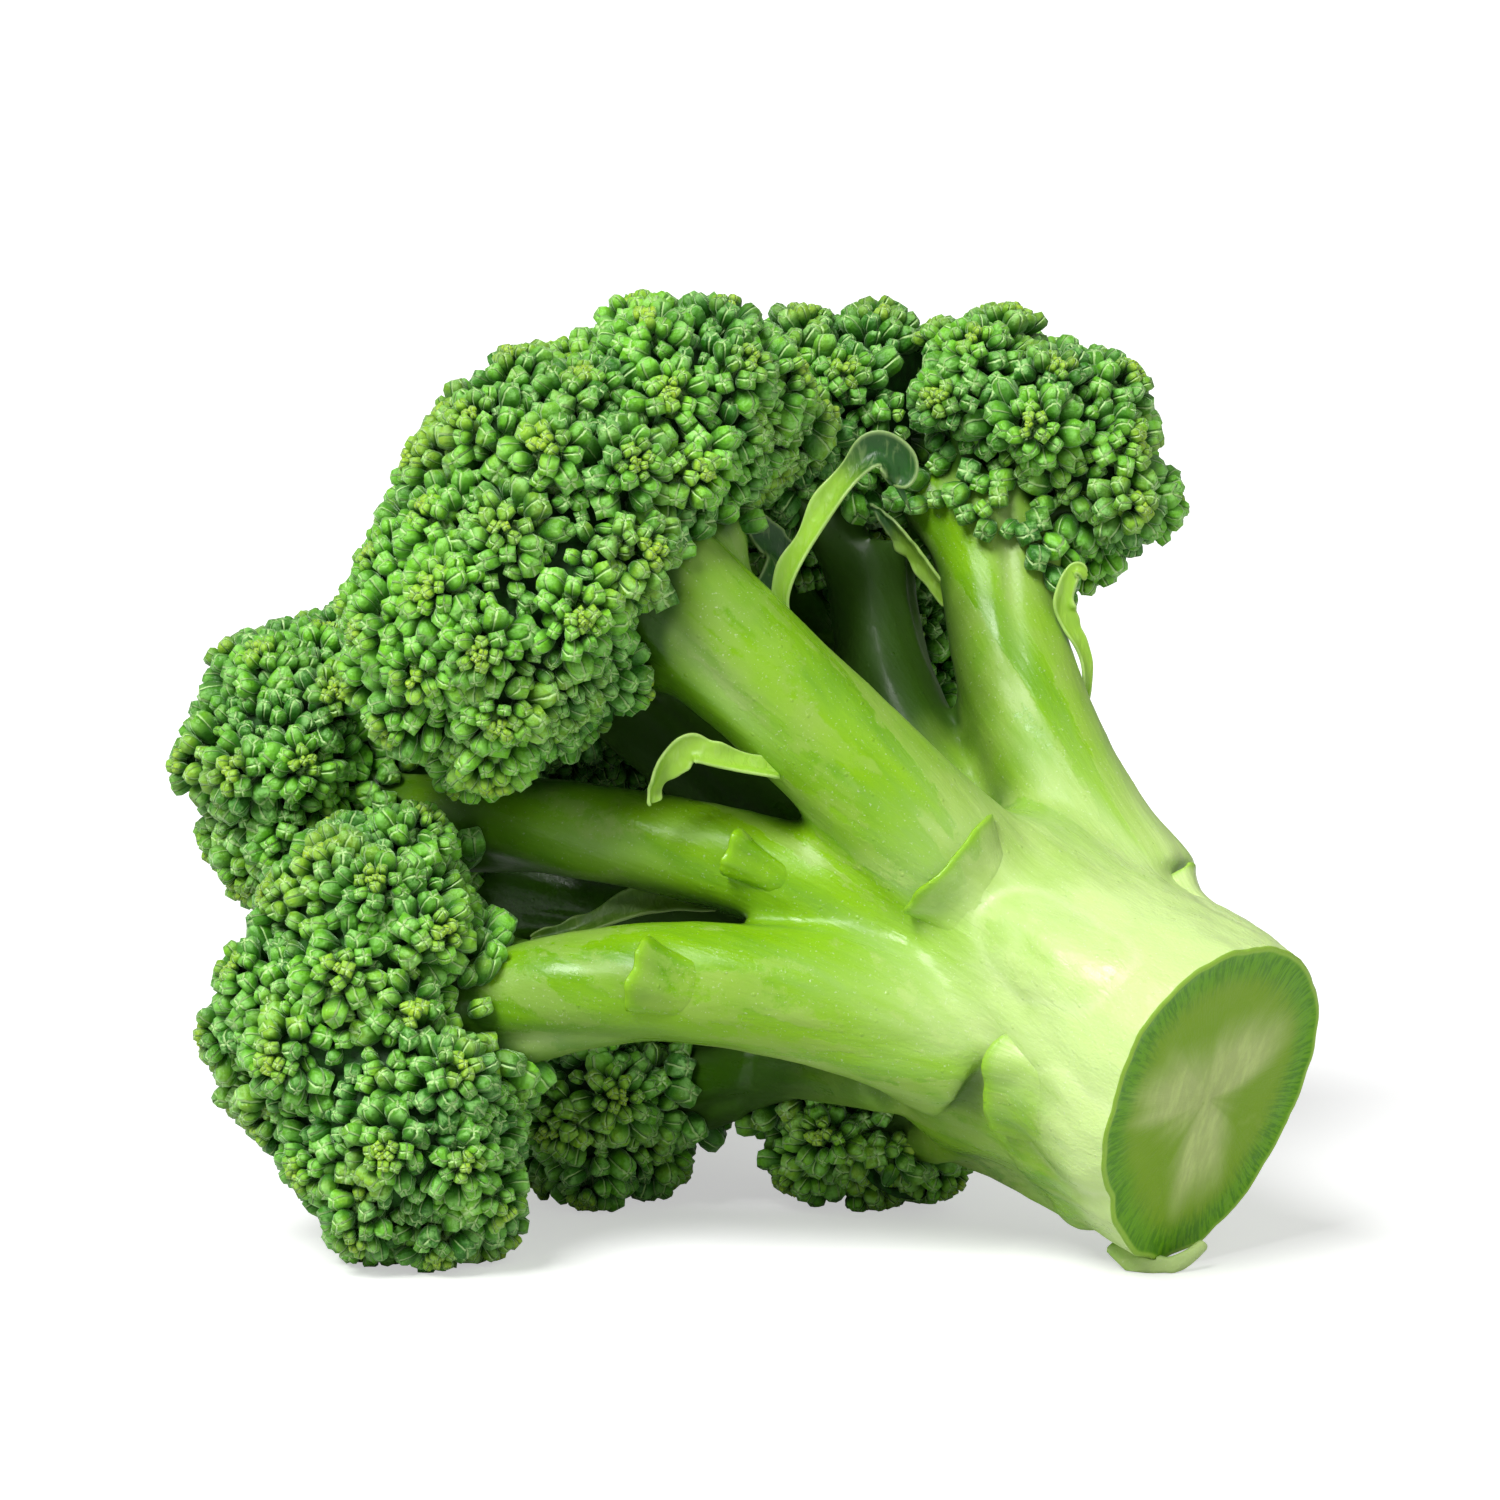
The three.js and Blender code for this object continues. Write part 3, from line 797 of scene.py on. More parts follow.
def close_cut(bm):
    """Cuts the stalk off flat and fills the end with rings, each vertex knowing its depth from the edge."""
    everything = bm.verts[:] + bm.edges[:] + bm.faces[:]
    plane = dict(plane_co=CUT_MIDDLE, plane_no=CUT_NORMAL, clear_outer=True)
    bmesh.ops.bisect_plane(bm, geom=everything, dist=1e-7, **plane)
    ring = [e for e in bm.edges if e.is_boundary]
    rim = list(dict.fromkeys(v for e in ring for v in e.verts))
    edge = [v.co.copy() for v in rim]
    middle = sum(edge, Vector()) / len(edge)
    polar = bm.verts.layers.float_vector.new("cut_polar")
    share = 1.0
    for to_share, rise in CUT_RINGS:
        made = bmesh.ops.extrude_edge_only(bm, edges=ring)["geom"]
        verts = [g for g in made if isinstance(g, bmesh.types.BMVert)]
        ring = [g for g in made if isinstance(g, bmesh.types.BMEdge) and g.is_boundary]
        bmesh.ops.scale(bm, verts=verts, vec=[to_share / share] * 3, space=Matrix.Translation(-middle))
        bmesh.ops.translate(bm, verts=verts, vec=CUT_NORMAL * rise * MM)
        share = to_share
        for v in verts:
            depth = min((v.co - p).length for p in edge)
            angle = math.atan2((v.co - middle).dot(CUT_TOP), (v.co - middle).dot(CUT_SIDE))
            v[polar] = (math.cos(angle), math.sin(angle), depth / MM)
            for face in v.link_faces:
                face.material_index = 1
    cap = bmesh.ops.contextual_create(bm, geom=ring)["faces"]
    for face in cap:
        face.material_index = 1
    bmesh.ops.recalc_face_normals(bm, faces=bm.faces)


# ---------- florets ----------

# each bud shape: sepals, lean, depth of the grooves, dimple at the tip, width
BUD_SHAPES = (
    (4, 0.0, 0.74, 0.1, 1.0),
    (4, 0.14, 0.78, 0.5, 0.92),
    (3, -0.12, 0.74, 0.15, 0.88),
    (4, 0.06, 0.70, 0.35, 1.06),
    (3, 0.1, 0.76, 0.6, 1.0),
    (4, -0.08, 0.84, 0.0, 0.8),
)
BLUNT = 2.7  # how square a bud's outline is; 2 is round
# how far down the stem each floret's hanging buds reach, in millimetres, and how far where it isn't listed
SKIRTS = {"floret_right": 6.5, "floret_low_left": 2.5, "floret_left": 3.0, "floret_front": 1.2}
USUAL_SKIRT = 2.0
CLEARANCE = 0.9 * MM  # between a bud's spot and a stem or the next floret
NEAR = 3 * MM
CORE_DEPTH = 3.4  # millimetres under the floret's outline
CORE_EXTRA = 1.6  # millimetres deeper on the stem's side
FLORET_VOXEL = 1.3 * MM
FLORET_BLEND = 10
ROSETTE_SPACING = 1.74  # times a rosette's radius
SKIRT_ZONE = 26 * MM  # from the branch's tip
GAP_SPACING = 2.2 * MM
# how near two buds may stand, as a share of their radii
ROSETTE_OVERLAP, GAP_OVERLAP, SKIRT_OVERLAP = 0.64, 0.72, 0.68
GAP_SUNK = 1.4  # millimetres
FLATTENED = 0.92  # lowest a bud's middle may be over the floor, as a share of its radius
# a rosette's own reach and smallest bud, as shares of the settings, and its height in millimetres
REACHES, SMALLEST, HEIGHTS = (0.9, 1.12), (0.85, 1.7), (1.2, 2.8)
# where along a branch, in millimetres from its end, its tip, its axis and its thickness are measured
TIP_LAYERS, THICK_LAYER = ((0, 5), (7, 14)), (5, 15)
PLANS = []


class Crowd:
    """Buds already placed, kept in cells so that near ones are found quickly."""

    def __init__(self, cell):
        self.cell = cell
        self.cells = {}

    def key(self, point):
        """The cell that a point is in."""
        return tuple(math.floor(c / self.cell) for c in point)

    def add(self, point, radius):
        """Remembers a bud."""
        self.cells.setdefault(self.key(point), []).append((point, radius))

    def crowded(self, point, radius, share):
        """Whether a bud here would sit deeper in another than share allows."""
        kx, ky, kz = self.key(point)
        for i in (-1, 0, 1):
            for j in (-1, 0, 1):
                for k in (-1, 0, 1):
                    for other, theirs in self.cells.get((kx + i, ky + j, kz + k), ()):
                        if (other - point).length < share * (radius + theirs):
                            return True
        return False


def bud_templates():
    """The bud shapes, two units wide: sepals with grooves, a narrow foot, a blunt or dimpled tip."""
    templates = []
    for sepals, lean, pinch, dimple, wide in BUD_SHAPES:
        bm = bmesh.new()
        bm.loops.layers.uv.new("bud")
        segments = 9 if sepals == 3 else 8
        bmesh.ops.create_uvsphere(bm, u_segments=segments, v_segments=6, radius=1.0, calc_uvs=True)
        uv = bm.loops.layers.uv["bud"]
        for face in bm.faces:
            for loop in face.loops:
                loop[uv].uv.x *= sepals / 4
        for v in bm.verts:
            angle = math.atan2(v.co.y, v.co.x)
            z = v.co.z
            blunt = 1
            if abs(z) < 0.99:
                blunt = (1 - abs(z) ** BLUNT) ** (1 / BLUNT) / max(0.05, math.sqrt(max(0.0, 1 - z * z)))
            sepal = 1 - (1 - pinch) * math.cos(sepals * angle) * (0.45 + 0.55 * z)
            foot = 1 - 0.3 * step(0.1, -1.0, z)
            v.co.x *= sepal * foot * blunt * wide
            v.co.y *= sepal * foot * blunt
            v.co.x += lean * z
            v.co.z = z * 1.16 - (dimple if z > 0.99 else 0)
        mesh = bpy.data.meshes.new("bud")
        bm.to_mesh(mesh)
        bm.free()
        flat = np.empty(len(mesh.vertices) * 3, np.float32)
        mesh.vertices.foreach_get("co", flat)
        templates.append((mesh, flat))
    return templates


def surface_points(bm, count, rng):
    """Random points spread evenly over a surface's triangles."""
    mesh = bpy.data.meshes.new("skin")
    bm.to_mesh(mesh)
    mesh.calc_loop_triangles()
    corners = np.empty(len(mesh.vertices) * 3)
    mesh.vertices.foreach_get("co", corners)
    corners = corners.reshape(-1, 3)
    tris = np.array([t.vertices[:] for t in mesh.loop_triangles])
    bpy.data.meshes.remove(mesh)
    a, b, c = corners[tris[:, 0]], corners[tris[:, 1]], corners[tris[:, 2]]
    area = np.linalg.norm(np.cross(b - a, c - a), axis=1) / 2
    chosen = rng.choice(len(tris), size=count, p=area / area.sum())
    s, t = np.sqrt(rng.random(count)), rng.random(count)
    shares = np.stack([1 - s, s * (1 - t), s * t])[:, :, None]
    points = shares[0] * a[chosen] + shares[1] * b[chosen] + shares[2] * c[chosen]
    return [Vector(p) for p in points], float(area.sum())


def aim(direction, spin):
    """Turns +Z to a direction, after a spin about itself."""
    return direction.to_track_quat("Z", "Y").to_matrix().to_4x4() @ Matrix.Rotation(spin, 4, "Z")


class Floret:
    """One floret: its outline, the end of its branch, the middles of its rosettes, and its buds."""

    def __init__(self, name, settings):
        self.name = name
        self.settings = settings
        self.rng = np.random.default_rng(settings.seed + FLORETS.index(name))
        self.chance = random.Random(settings.seed * 100 + FLORETS.index(name))
        self.skin = remeshed(merged([name]), FLORET_VOXEL)
        relax(self.skin, FLORET_BLEND)
        self.tree = BVHTree.FromBMesh(self.skin)
        low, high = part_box(name)
        self.middle = (low + high) / 2
        self.find_branch_end()
        self.outward = (self.middle - self.neck).normalized()
        self.find_centres()
        self.buds = []

    def find_branch_end(self):
        """The branch's tip, a point on its axis before the tip, and its thickness there."""
        spots = [v.co for v in NODES[self.name.replace("floret_", "branch_")].data.vertices]
        nearest = min((p - self.middle).length for p in spots)
        tip, axis, thick = (
            [p for p in spots if low * MM <= (p - self.middle).length - nearest <= high * MM]
            for low, high in (*TIP_LAYERS, THICK_LAYER)
        )
        self.tip, self.neck = (sum(layer, Vector()) / len(layer) for layer in (tip, axis))
        way = (self.tip - self.neck).normalized()
        ring = [p - self.neck for p in thick]
        self.thick = sum((p - way * p.dot(way)).length for p in ring) / len(ring)

    def find_centres(self):
        """Spreads the rosettes' middles over the whole outline, no two too close."""
        spacing = self.settings.rosette * ROSETTE_SPACING
        area = surface_points(self.skin, 1, self.rng)[1]
        spots, _ = surface_points(self.skin, int(area / spacing**2 * 40), self.rng)
        crowd = Crowd(spacing)
        self.centres = []
        for point in spots:
            spot, normal, _, _ = self.tree.find_nearest(point)
            if normal.dot(self.outward) < -0.75 or crowd.crowded(spot, spacing / 2, 0.9):
                continue
            crowd.add(spot, spacing / 2)
            self.centres.append(spot)

    def bare(self, point):
        """No bud grows against a stem, inside the next floret, or where the branch comes in."""
        for tree in (self.stem_tree, self.others_tree):
            spot, normal, _, away = tree.find_nearest(point, NEAR)
            if spot is not None and (away < CLEARANCE or (point - spot).dot(normal) < 0):
                return True
        return False

    def add(self, spot, normal, direction, width, age, tint, share):
        """Places a bud unless it would be too deep in another."""
        radius = width / 2
        middle = spot - normal * self.settings.sunk
        middle.z = max(middle.z, radius * FLATTENED)
        if self.crowd.crowded(middle, radius, share):
            return False
        self.crowd.add(middle, radius)
        self.buds.append((middle, direction.normalized(), width, age, tint))
        return True

    def rosette(self, centre):
        """A spiral of buds that grow from small in the middle to large at the rim."""
        s = self.settings
        chance = self.chance
        normal = self.tree.find_nearest(centre)[1]
        side = normal.orthogonal().normalized()
        other = normal.cross(side)
        reach = s.rosette * chance.uniform(*REACHES)
        height = chance.uniform(*HEIGHTS)
        turn = chance.uniform(0, math.tau)
        smallest = s.smallest * chance.uniform(*SMALLEST)
        tint = chance.random()
        lean = shake(chance, 0.22)
        covered, r, k = 0.0, 0.0, 0
        while r < reach:
            share = r / s.rosette
            width = (smallest + (s.largest - smallest) * min(1, share) ** 0.85) * chance.uniform(0.84, 1.14)
            covered += 0.9 * width * width
            r = math.sqrt(covered / math.pi) - width * 0.3
            share = max(0.0, r / s.rosette)
            angle = turn + k * GOLDEN_ANGLE + chance.uniform(-0.22, 0.22)
            k += 1
            radial = side * math.cos(angle) + other * math.sin(angle)
            spot, face, _, _ = self.tree.find_nearest(centre + radial * max(r, 0))
            if self.bare(spot):
                continue
            lift = (height - (height + 1.3) * share**2 + chance.uniform(-0.45, 0.45)) * MM
            direction = face + radial * 1.35 * share**1.3 + lean + shake(chance, 0.2)
            mixed = (tint + chance.random()) / 2
            self.add(spot + face * lift, face, direction, width, min(1.0, share), mixed, ROSETTE_OVERLAP)

    def grow(self, crowd, stem_tree, stem_spots, others_tree):
        """Rosettes first, then single buds in the gaps between them, then the buds over the stem."""
        self.crowd, self.stem_tree, self.others_tree = crowd, stem_tree, others_tree
        for centre in self.centres:
            self.rosette(centre)
        self.fill_gaps()
        self.skirt(stem_spots)

    def fill_gaps(self):
        """Single buds between the rosettes, a little deeper than theirs."""
        chance = self.chance
        area = surface_points(self.skin, 1, self.rng)[1]
        fillers, _ = surface_points(self.skin, int(area / GAP_SPACING**2 * 5), self.rng)
        for point in fillers:
            spot, normal, _, _ = self.tree.find_nearest(point)
            if self.bare(spot):
                continue
            width = self.settings.largest * chance.uniform(0.5, 0.78)
            tip = shake(chance, 0.6)
            age, tint = chance.uniform(0.7, 1), chance.random() * 0.7
            spot -= normal * GAP_SUNK * MM
            self.add(spot, normal, normal + tip, width, age, tint, GAP_OVERLAP)

    def skirt(self, stem_spots):
        """Buds that hang over the stem where it comes in."""
        chance = self.chance
        reach = SKIRTS.get(self.name, USUAL_SKIRT) * MM
        near = [p for p in stem_spots if self.in_skirt(p[0], reach)]
        chance.shuffle(near)
        for point, normal in near:
            out = (point - self.middle).normalized()
            width = self.settings.largest * chance.uniform(0.75, 1.05)
            tip = shake(chance, 0.35)
            age, tint = chance.uniform(0.7, 1), chance.random()
            spot = point + normal * (width * 0.3 + self.settings.sunk)
            self.add(spot, normal, out + normal * 0.6 + tip, width, age, tint, SKIRT_OVERLAP)

    def in_skirt(self, point, reach):
        """Whether a spot on the stems is close under this floret's outline."""
        if (point - self.tip).length > SKIRT_ZONE:
            return False
        spot, normal, _, away = self.tree.find_nearest(point)
        return (point - spot).dot(normal) < 0 or away < reach


def planned_florets(settings):
    """The florets' outlines and rosettes, worked out once and used by the stems and by the buds."""
    if not PLANS:
        PLANS.extend(Floret(name, settings) for name in FLORETS)
    return PLANS


def core_of(floret):
    """The body under a floret's buds, dark with painted shade, as a bmesh whose faces take the second
    material.
    """
    core = floret.skin.copy()
    for v in core.verts:
        under = step(0.2, -0.5, v.normal.dot(floret.outward))
        v.co -= v.normal * (CORE_DEPTH + CORE_EXTRA * under) * MM
        v.co.z = max(v.co.z, 0.3 * MM)
    for face in core.faces:
        face.material_index = 1
    for label in ("age", "tint"):
        core.verts.layers.float.new(label)
    core.loops.layers.uv.new("bud")
    return core


def floret_piece(floret, templates, materials):
    """The floret's core and all its buds, as one piece."""
    bm = core_of(floret)
    before = len(bm.verts)
    chance = floret.chance
    sizes = []
    for middle, direction, width, age, _ in floret.buds:
        template, rest = templates[chance.randrange(len(templates))]
        tall = chance.uniform(0.95, 1.1) * (1 + 0.22 * age)
        size = Matrix.Diagonal((width / 2, width / 2, width / 2 * tall, 1))
        template.vertices.foreach_set("co", rest)
        template.transform(Matrix.Translation(middle) @ aim(direction, chance.uniform(0, math.tau)) @ size)
        bm.from_mesh(template)
        sizes.append(len(template.vertices))
    mesh = bpy.data.meshes.new(floret.name)
    bm.to_mesh(mesh)
    bm.free()
    for label, place in (("age", 3), ("tint", 4)):
        of_buds = np.repeat([bud[place] for bud in floret.buds], sizes)
        spread = np.concatenate([np.full(before, 0.5), of_buds]).astype(np.float32)
        mesh.attributes[label].data.foreach_set("value", spread)
    co = np.empty(len(mesh.vertices) * 3, np.float32)
    mesh.vertices.foreach_get("co", co)
    co[2::3] = np.maximum(co[2::3], 0)
    mesh.vertices.foreach_set("co", co)
    piece = piece_of(mesh, floret.name.replace("floret_", "floret_of_buds_"), materials)
    return handed(piece, "floret", floret.name)


# ---------- leaves ----------

# Each leaf is a ribbon in its solid's box. spine: from foot to tip, as shares of the box's width and height;
# widths in millimetres at foot, middle and tip end; tone: how dark at foot and tip; curl: how far it folds.
LEAF_SHAPES = {
    "leaf_tall": dict(
        spine=(
            (0.02, -0.05), (0.10, 0.22), (0.22, 0.45), (0.42, 0.68), (0.62, 0.88), (0.82, 1.0), (1.0, 0.93),
            (0.94, 0.82),
        ),
        widths=(2.4, 4.2, 5.6), tone=(0.1, 1.0), curl=0.9,
    ),
    "leaf_dark": dict(
        spine=((1.0, 0.0), (0.7, 0.3), (0.35, 0.65), (0.05, 1.0)),
        widths=(3.2, 5.0, 2.0), tone=(1.0, 0.85), curl=0.4,
    ),
    "leaf_curled": dict(
        spine=((1.3, 0.35), (0.78, 0.8), (0.45, 0.95), (0.2, 0.65), (0.06, 0.3), (0.0, 0.0)),
        widths=(2.6, 3.4, 1.6), tone=(0.05, 0.3), curl=0.6,
    ),
    "leaf_right": dict(
        spine=((0.35, -0.25), (0.75, 0.25), (0.35, 0.55), (0.2, 0.75), (0.5, 1.0), (0.75, 0.95)),
        widths=(1.6, 3.0, 2.0), tone=(0.0, 0.2), curl=0.7,
    ),
    "leaf_inner": dict(
        spine=((1.45, -0.25), (0.8, 0.3), (0.4, 0.7), (0.0, 1.0)),
        widths=(2.4, 3.0, 0.9), tone=(0.2, 0.8), curl=0.6,
    ),
    "leaf_under": dict(
        spine=((1.0, 0.35), (0.7, 0.75), (0.45, 0.6), (0.2, 0.25), (0.0, 0.1)),
        widths=(2.8, 3.4, 1.4), tone=(0.4, 0.6), curl=0.5,
    ),
}
LEAF_THICKNESS = 0.45 * MM
LEAF_ROOTED = 0.7  # millimetres into the stem
LEAF_WAVE = 0.9  # millimetres
# share of a stub's own width that its torn edge takes up, where it is not the whole
STUB_SPANS = {"stub_left": 0.62}
STUB_THICKNESS = 0.5 * MM
STUB_LENGTH = 8.0  # millimetres from the torn edge to where it runs out into the stem
STUB_RISE = (1.8 * MM, 3.2 * MM)
STUB_SUNK = 0.45  # millimetres that its other edges lie in the stem
STUB_HOOK = 1.6  # millimetres that its upper corner stands up
TORN_ROUGHNESS = 0.35  # millimetres


def along_spine(points, t):
    """A point on a smooth curve through points, for t from 0 to 1."""
    place = t * (len(points) - 1)
    i = min(int(place), len(points) - 2)
    f = place - i
    before, a, b, after = (points[min(max(j, 0), len(points) - 1)] for j in (i - 1, i, i + 1, i + 2))
    slope, bend = b - before, 2 * before - 5 * a + 4 * b - after
    twist = 3 * a - before - 3 * b + after
    return 0.5 * (2 * a + slope * f + bend * f**2 + twist * f**3)


def make_leaf(name, material, stem_tree, spine, widths, tone, curl):
    """A small leaf: a ribbon along a spine, rooted in the nearest stem, with a wavy rim."""
    low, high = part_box(name)
    deep = (low.y + high.y) / 2
    points = [Vector((low.x + u * (high.x - low.x), deep, low.z + w * (high.z - low.z))) for u, w in spine]
    root, skin, _, _ = stem_tree.find_nearest(points[0])
    points[0] = root - skin * LEAF_ROOTED * MM
    bm = bmesh.new()
    bmesh.ops.create_grid(bm, x_segments=40, y_segments=10, size=1)
    rim = bm.verts.layers.float.new("rim")
    shade = bm.verts.layers.float.new("tone")
    for v in bm.verts:
        t, s = (v.co.x + 1) / 2, v.co.y
        ahead = (along_spine(points, min(1, t + 0.02)) - along_spine(points, max(0, t - 0.02))).normalized()
        side = ahead.cross(Vector((0, -1, 0))).normalized()
        side = (side + Vector((0, 0.75 * math.sin(3.1 * t + low.x / MM), 0))).normalized()
        face = side.cross(ahead).normalized()
        first, middle, last = widths
        width = first + (middle - first) * step(0, 0.5, t) + (last - middle) * step(0.5, 0.95, t)
        width *= math.sqrt(max(0.0, 1 - max(0.0, (t - 0.8) / 0.2) ** 2)) * 0.95 + 0.05
        ruffle = noise.noise(Vector((t * 9, s * 0.7, low.x / MM))) * abs(s) ** 1.5
        out = s * width / 2 * MM * (1 + 0.25 * ruffle)
        fold = curl * width * 0.32 * MM * s * s + LEAF_WAVE * MM * ruffle
        v[rim] = step(0.78, 0.95, abs(s))
        v[shade] = tone[0] + (tone[1] - tone[0]) * step(0.35, 0.8, t)
        v.co = along_spine(points, t) + side * out + face * fold
    bmesh.ops.recalc_face_normals(bm, faces=bm.faces)
    bmesh.ops.solidify(bm, geom=bm.faces[:], thickness=LEAF_THICKNESS)
    bmesh.ops.recalc_face_normals(bm, faces=bm.faces)
    piece = piece_from(bm, name.replace("leaf_", "leaf_blade_"), [material])
    finer = piece.modifiers.new("Finer", "SUBSURF")
    finer.levels = finer.render_levels = 1
    return handed(piece, "leaf", name)


def make_torn_edge(name, material):
    """The flap of skin under the cut end, from its solid: finer and uneven."""
    bm = merged([name])
    bmesh.ops.join_triangles(bm, faces=bm.faces, angle_face_threshold=0.7, angle_shape_threshold=0.7)
    bmesh.ops.subdivide_edges(bm, edges=bm.edges, cuts=3, use_grid_fill=True)
    bm.normal_update()
    for v in bm.verts:
        v.co += v.normal * noise.noise(v.co / MM * 0.6) * TORN_ROUGHNESS * MM
    relax(bm, 4)
    off_the_floor(bm)
    return handed(piece_from(bm, name + "_soft", [material]), "leaf", name)


def make_stub(name, material, stem_tree):
    """The stub of a leaf stalk: skin that rises gently from the root's side to a thin torn edge."""
    spots = [v.co for v in NODES[name].data.vertices]
    middle = sum(spots, Vector()) / len(spots)
    way = to_root(middle)
    first = min((p - middle).dot(way) for p in spots)
    normal = stem_tree.find_nearest(middle)[1]
    way = (way - normal * way.dot(normal)).normalized()
    across = normal.cross(way)
    half = max(abs((p - middle).dot(across)) for p in spots) * STUB_SPANS.get(name, 1.0)
    rise = max((p - stem_tree.find_nearest(p)[0]).dot(normal) for p in spots)
    rise = min(STUB_RISE[1], max(STUB_RISE[0], rise))
    upward = 1 if across.z > 0 else -1
    bm = bmesh.new()
    bmesh.ops.create_grid(bm, x_segments=16, y_segments=26, size=1)
    fin = bm.verts.layers.float.new("fin")
    for v in bm.verts:
        t, s = (v.co.x + 1) / 2, v.co.y * upward
        out = first * 0.6 + t * STUB_LENGTH * MM * (1 - 0.3 * s * s)
        start = middle + way * out + across * v.co.y * half
        spot, face, _, _ = stem_tree.find_nearest(start)
        hump = max(0.0, 1 - abs(s) ** 2.4) ** 0.8
        torn = 1 + 0.5 * noise.noise(Vector((s * 2.3, middle.x / MM, 0))) + 0.35 * step(0.1, 0.8, s)
        height = rise * hump * torn * (1 - t) ** 2.3
        sunk = STUB_SUNK * MM * max(step(0.75, 1.0, t), step(0.7, 1.0, abs(s)))
        lean = 0.35 * height * (1 - t) ** 2
        hook = UP * STUB_HOOK * MM * max(0.0, 1 - 1.6 * abs(normal.z)) * step(0.55, 0.9, s) * (1 - t) ** 3
        v[fin] = step(0.16, 0.02, t) * hump**0.3
        v.co = spot + face * (height - sunk) - way * lean + hook
    bmesh.ops.recalc_face_normals(bm, faces=bm.faces)
    bm.normal_update()
    if sum(f.normal.dot(normal) for f in bm.faces) < 0:
        bmesh.ops.reverse_faces(bm, faces=bm.faces)
    bmesh.ops.solidify(bm, geom=bm.faces[:], thickness=STUB_THICKNESS)
    relax(bm, 1)
    bmesh.ops.recalc_face_normals(bm, faces=bm.faces)
    off_the_floor(bm)
    piece = piece_from(bm, name.replace("stub_", "leaf_stub_") + "_soft", [material])
    return handed(piece, "leaf", name)


# ---------- operators ----------

CAMERA_TARGET = Vector((0.0011, -0.0088, 0.0580))


class BROCCOLI_OT_stems(bpy.types.Operator):
    """Grow the stalk, its cut end and the branches as one body"""

    bl_idname = "broccoli.stems"
    bl_label = "Stalk and branches"

    def execute(self, context):
        scene = context.scene
        grain, wax = grain_group(), wax_group()
        skin = stem_material(scene.broccoli_stems, grain, wax)
        florets = planned_florets(scene.broccoli_buds)
        make_stems(scene.broccoli_stems, florets, [skin, cut_material(scene.broccoli_cut)])
        return {"FINISHED"}


class BROCCOLI_OT_florets(bpy.types.Operator):
    """Cover each floret with rosettes of buds"""

    bl_idname = "broccoli.florets"
    bl_label = "Florets"

    def execute(self, context):
        settings = context.scene.broccoli_buds
        stem_tree, stem_spots = stem_surface()
        templates = bud_templates()
        materials = [bud_material(settings), core_shade_material(settings)]
        crowd = Crowd(settings.largest)
        for floret in planned_florets(settings):
            others_tree = tree_of([n for n in FLORETS if n != floret.name])
            floret.grow(crowd, stem_tree, stem_spots, others_tree)
            floret_piece(floret, templates, materials)
        for mesh, _ in templates:
            bpy.data.meshes.remove(mesh)
        return {"FINISHED"}


class BROCCOLI_OT_leaves(bpy.types.Operator):
    """Grow the small leaves and the stubs of cut leaf stalks"""

    bl_idname = "broccoli.leaves"
    bl_label = "Leaves"

    def execute(self, context):
        material = leaf_material(context.scene.broccoli_leaves)
        skin = bpy.data.materials["Stem skin"]
        stem_tree, _ = stem_surface()
        for name, shape in LEAF_SHAPES.items():
            make_leaf(name, material, stem_tree, **shape)
        make_torn_edge("torn_edge", skin)
        for name in STUBS:
            make_stub(name, skin, stem_tree)
        return {"FINISHED"}


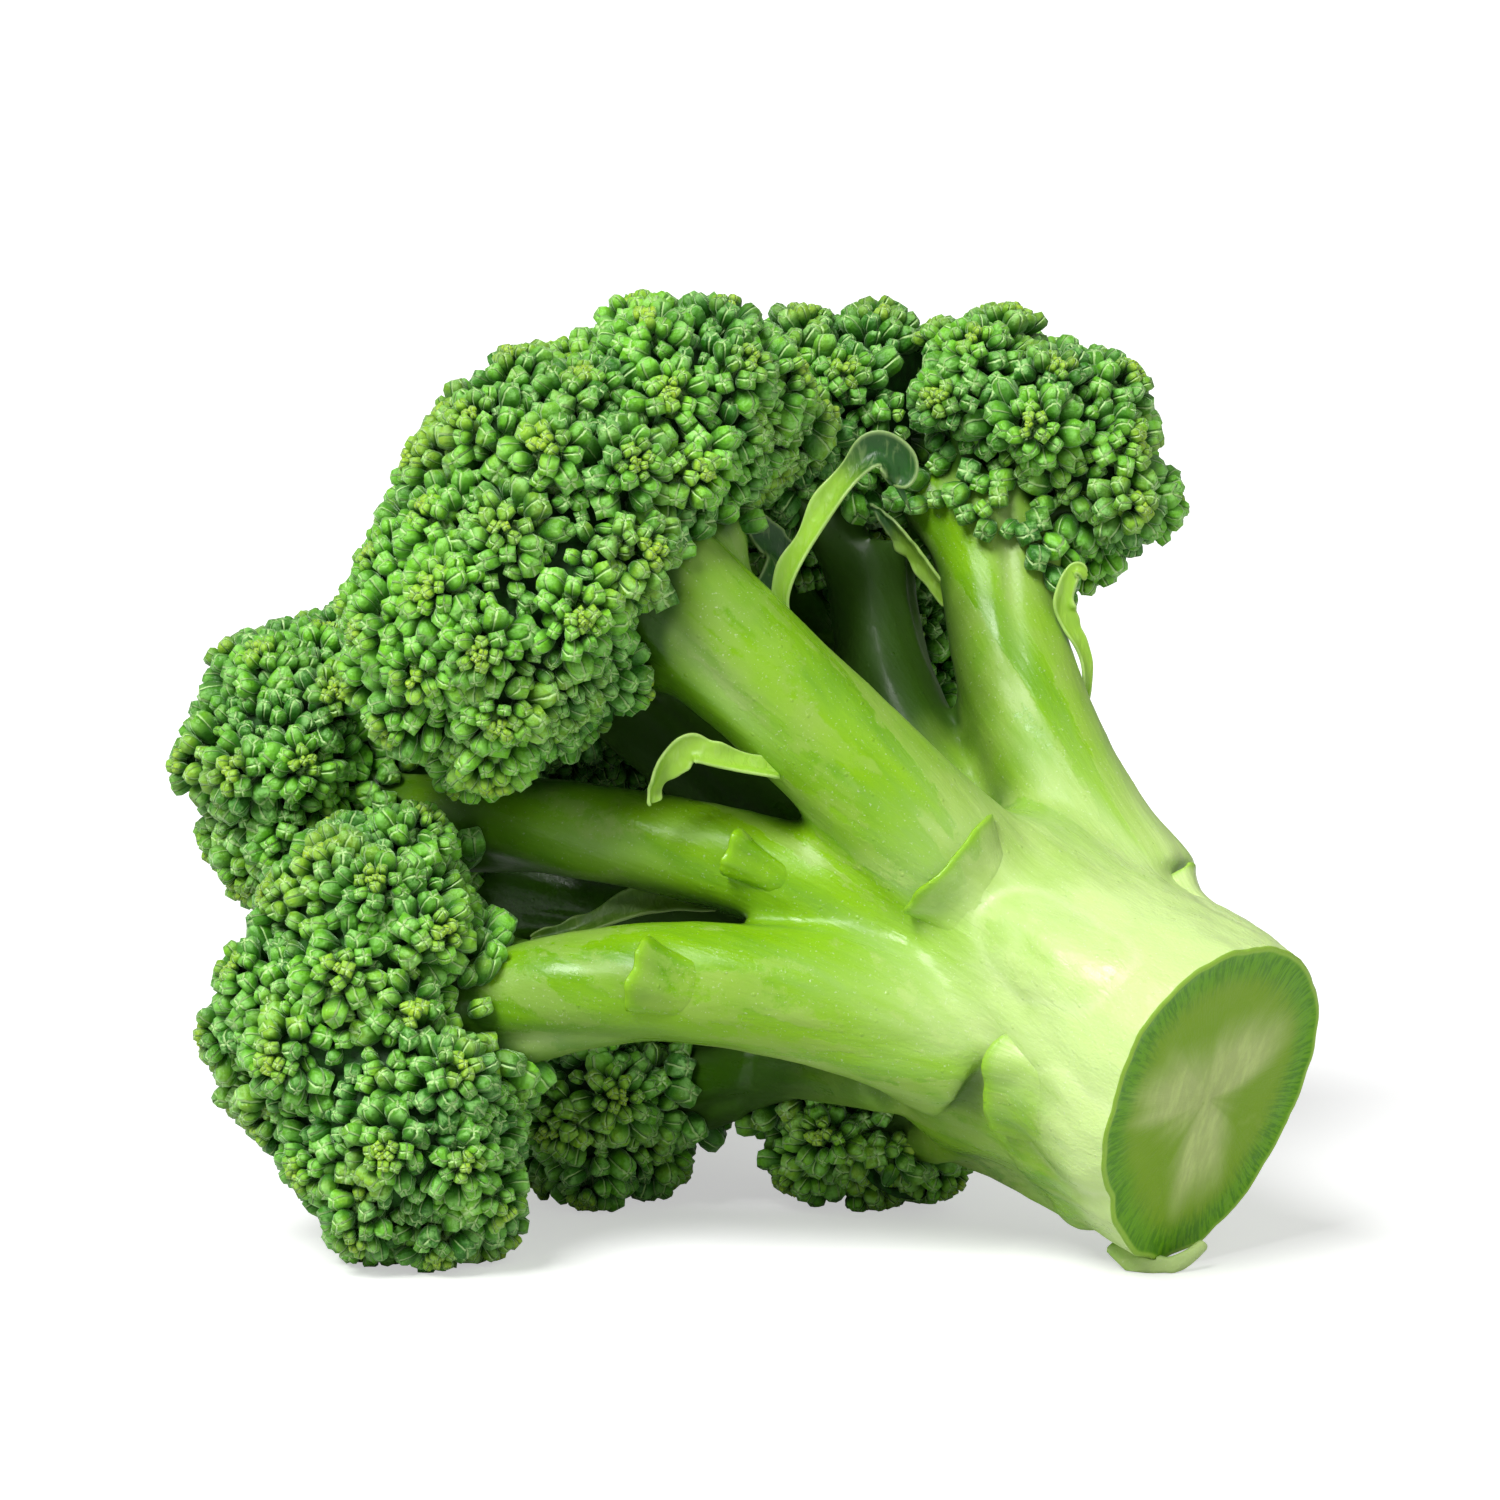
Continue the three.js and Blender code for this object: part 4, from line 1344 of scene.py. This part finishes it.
class BROCCOLI_OT_stage(bpy.types.Operator):
    """Set the floor, the lights and the camera"""

    bl_idname = "broccoli.stage"
    bl_label = "Stage"

    def execute(self, context):
        stage = context.scene.broccoli_stage
        floor = bmesh.new()
        bmesh.ops.create_grid(floor, x_segments=2, y_segments=2, size=12)
        plain = dict(Roughness=0.6, Specular_IOR_Level=0.1, Emission_Color=(1, 1, 1))
        material, s, surface = new_material("Floor", **plain)
        shade = s.mix(s.noise(s.place(), 3, 2, 0.5), stage.floor, toned(stage.floor, 0.99))
        seen = s.made("ShaderNodeLightPath", (), "Is Camera Ray")
        s.fill(surface, Base_Color=shade, Emission_Strength=seen * stage.lift)
        piece_from(floor, "floor", [material], smooth=False)
        self.lights(context, stage)
        self.camera(context, stage)
        context.scene.view_settings.view_transform = "Standard"
        return {"FINISHED"}

    def lights(self, context, stage):
        """A white sky, a broad sun from the upper left, and a softer one from the right."""
        world = bpy.data.worlds.new("Studio")
        world.use_nodes = True
        context.scene.world = world
        s = Shader(world.node_tree)
        lighting = s.fill(world.node_tree.nodes["Background"], (1, 1, 1), stage.sky)
        seen = s.fill(s.add("ShaderNodeBackground"), (1, 1, 1), 1.0)
        either = s.made(
            "ShaderNodeMixShader",
            (
                s.made("ShaderNodeLightPath", (), "Is Camera Ray"),
                Value(s, lighting.outputs[0]),
                Value(s, seen.outputs[0]),
            ),
        )
        s.fill(world.node_tree.nodes["World Output"], either)
        for name, aim_from, strength, spread in (
            ("key", (-0.55, -0.75, 1.15), stage.sun, 28),
            ("side", (0.9, -0.8, 0.9), stage.sun * 0.12, 50),
        ):
            light = bpy.data.lights.new(name, "SUN")
            light.energy = strength
            light.angle = math.radians(spread)
            lamp = bpy.data.objects.new(name, light)
            lamp.rotation_euler = Vector(aim_from).to_track_quat("Z", "Y").to_euler()
            context.scene.collection.objects.link(lamp)

    def camera(self, context, stage):
        """A long lens, a little above the floor, looking along +Y."""
        data = bpy.data.cameras.new("camera")
        data.lens = stage.lens
        data.sensor_width = 36
        data.clip_start = 0.01
        camera = bpy.data.objects.new("camera", data)
        back = Vector((0, -math.cos(stage.tilt), math.sin(stage.tilt)))
        camera.location = CAMERA_TARGET + back * stage.away
        camera.rotation_euler = back.to_track_quat("Z", "Y").to_euler()
        context.scene.collection.objects.link(camera)
        context.scene.camera = camera


class BROCCOLI_PT_panel(bpy.types.Panel):
    """Lists the steps that grow the head"""

    bl_label = "Broccoli head"
    bl_idname = "BROCCOLI_PT_panel"
    bl_space_type = "VIEW_3D"
    bl_region_type = "UI"
    bl_category = "Broccoli"

    def draw(self, context):
        for operator in STEPS:
            self.layout.operator(operator.bl_idname)
        for name in SETTINGS:
            box = self.layout.box()
            group = getattr(context.scene, name)
            for key in group.bl_rna.properties.keys():
                if key not in {"rna_type", "name"}:
                    box.prop(group, key)


STEPS = (BROCCOLI_OT_stage, BROCCOLI_OT_stems, BROCCOLI_OT_florets, BROCCOLI_OT_leaves)
SETTINGS = {
    "broccoli_stems": StemSettings,
    "broccoli_cut": CutSettings,
    "broccoli_buds": BudSettings,
    "broccoli_leaves": LeafSettings,
    "broccoli_stage": StageSettings,
}


def register():
    """Registers the settings, the steps and the panel."""
    for name, group in SETTINGS.items():
        bpy.utils.register_class(group)
        setattr(bpy.types.Scene, name, bpy.props.PointerProperty(type=group))
    for item in (*STEPS, BROCCOLI_PT_panel):
        bpy.utils.register_class(item)


def unregister():
    """Undoes register."""
    for item in (BROCCOLI_PT_panel, *reversed(STEPS)):
        bpy.utils.unregister_class(item)
    for name, group in SETTINGS.items():
        delattr(bpy.types.Scene, name)
        bpy.utils.unregister_class(group)


def main():
    """Runs every step."""
    register()
    bpy.ops.broccoli.stage()
    bpy.ops.broccoli.stems()
    bpy.ops.broccoli.florets()
    bpy.ops.broccoli.leaves()


if __name__ == "__main__":
    main()
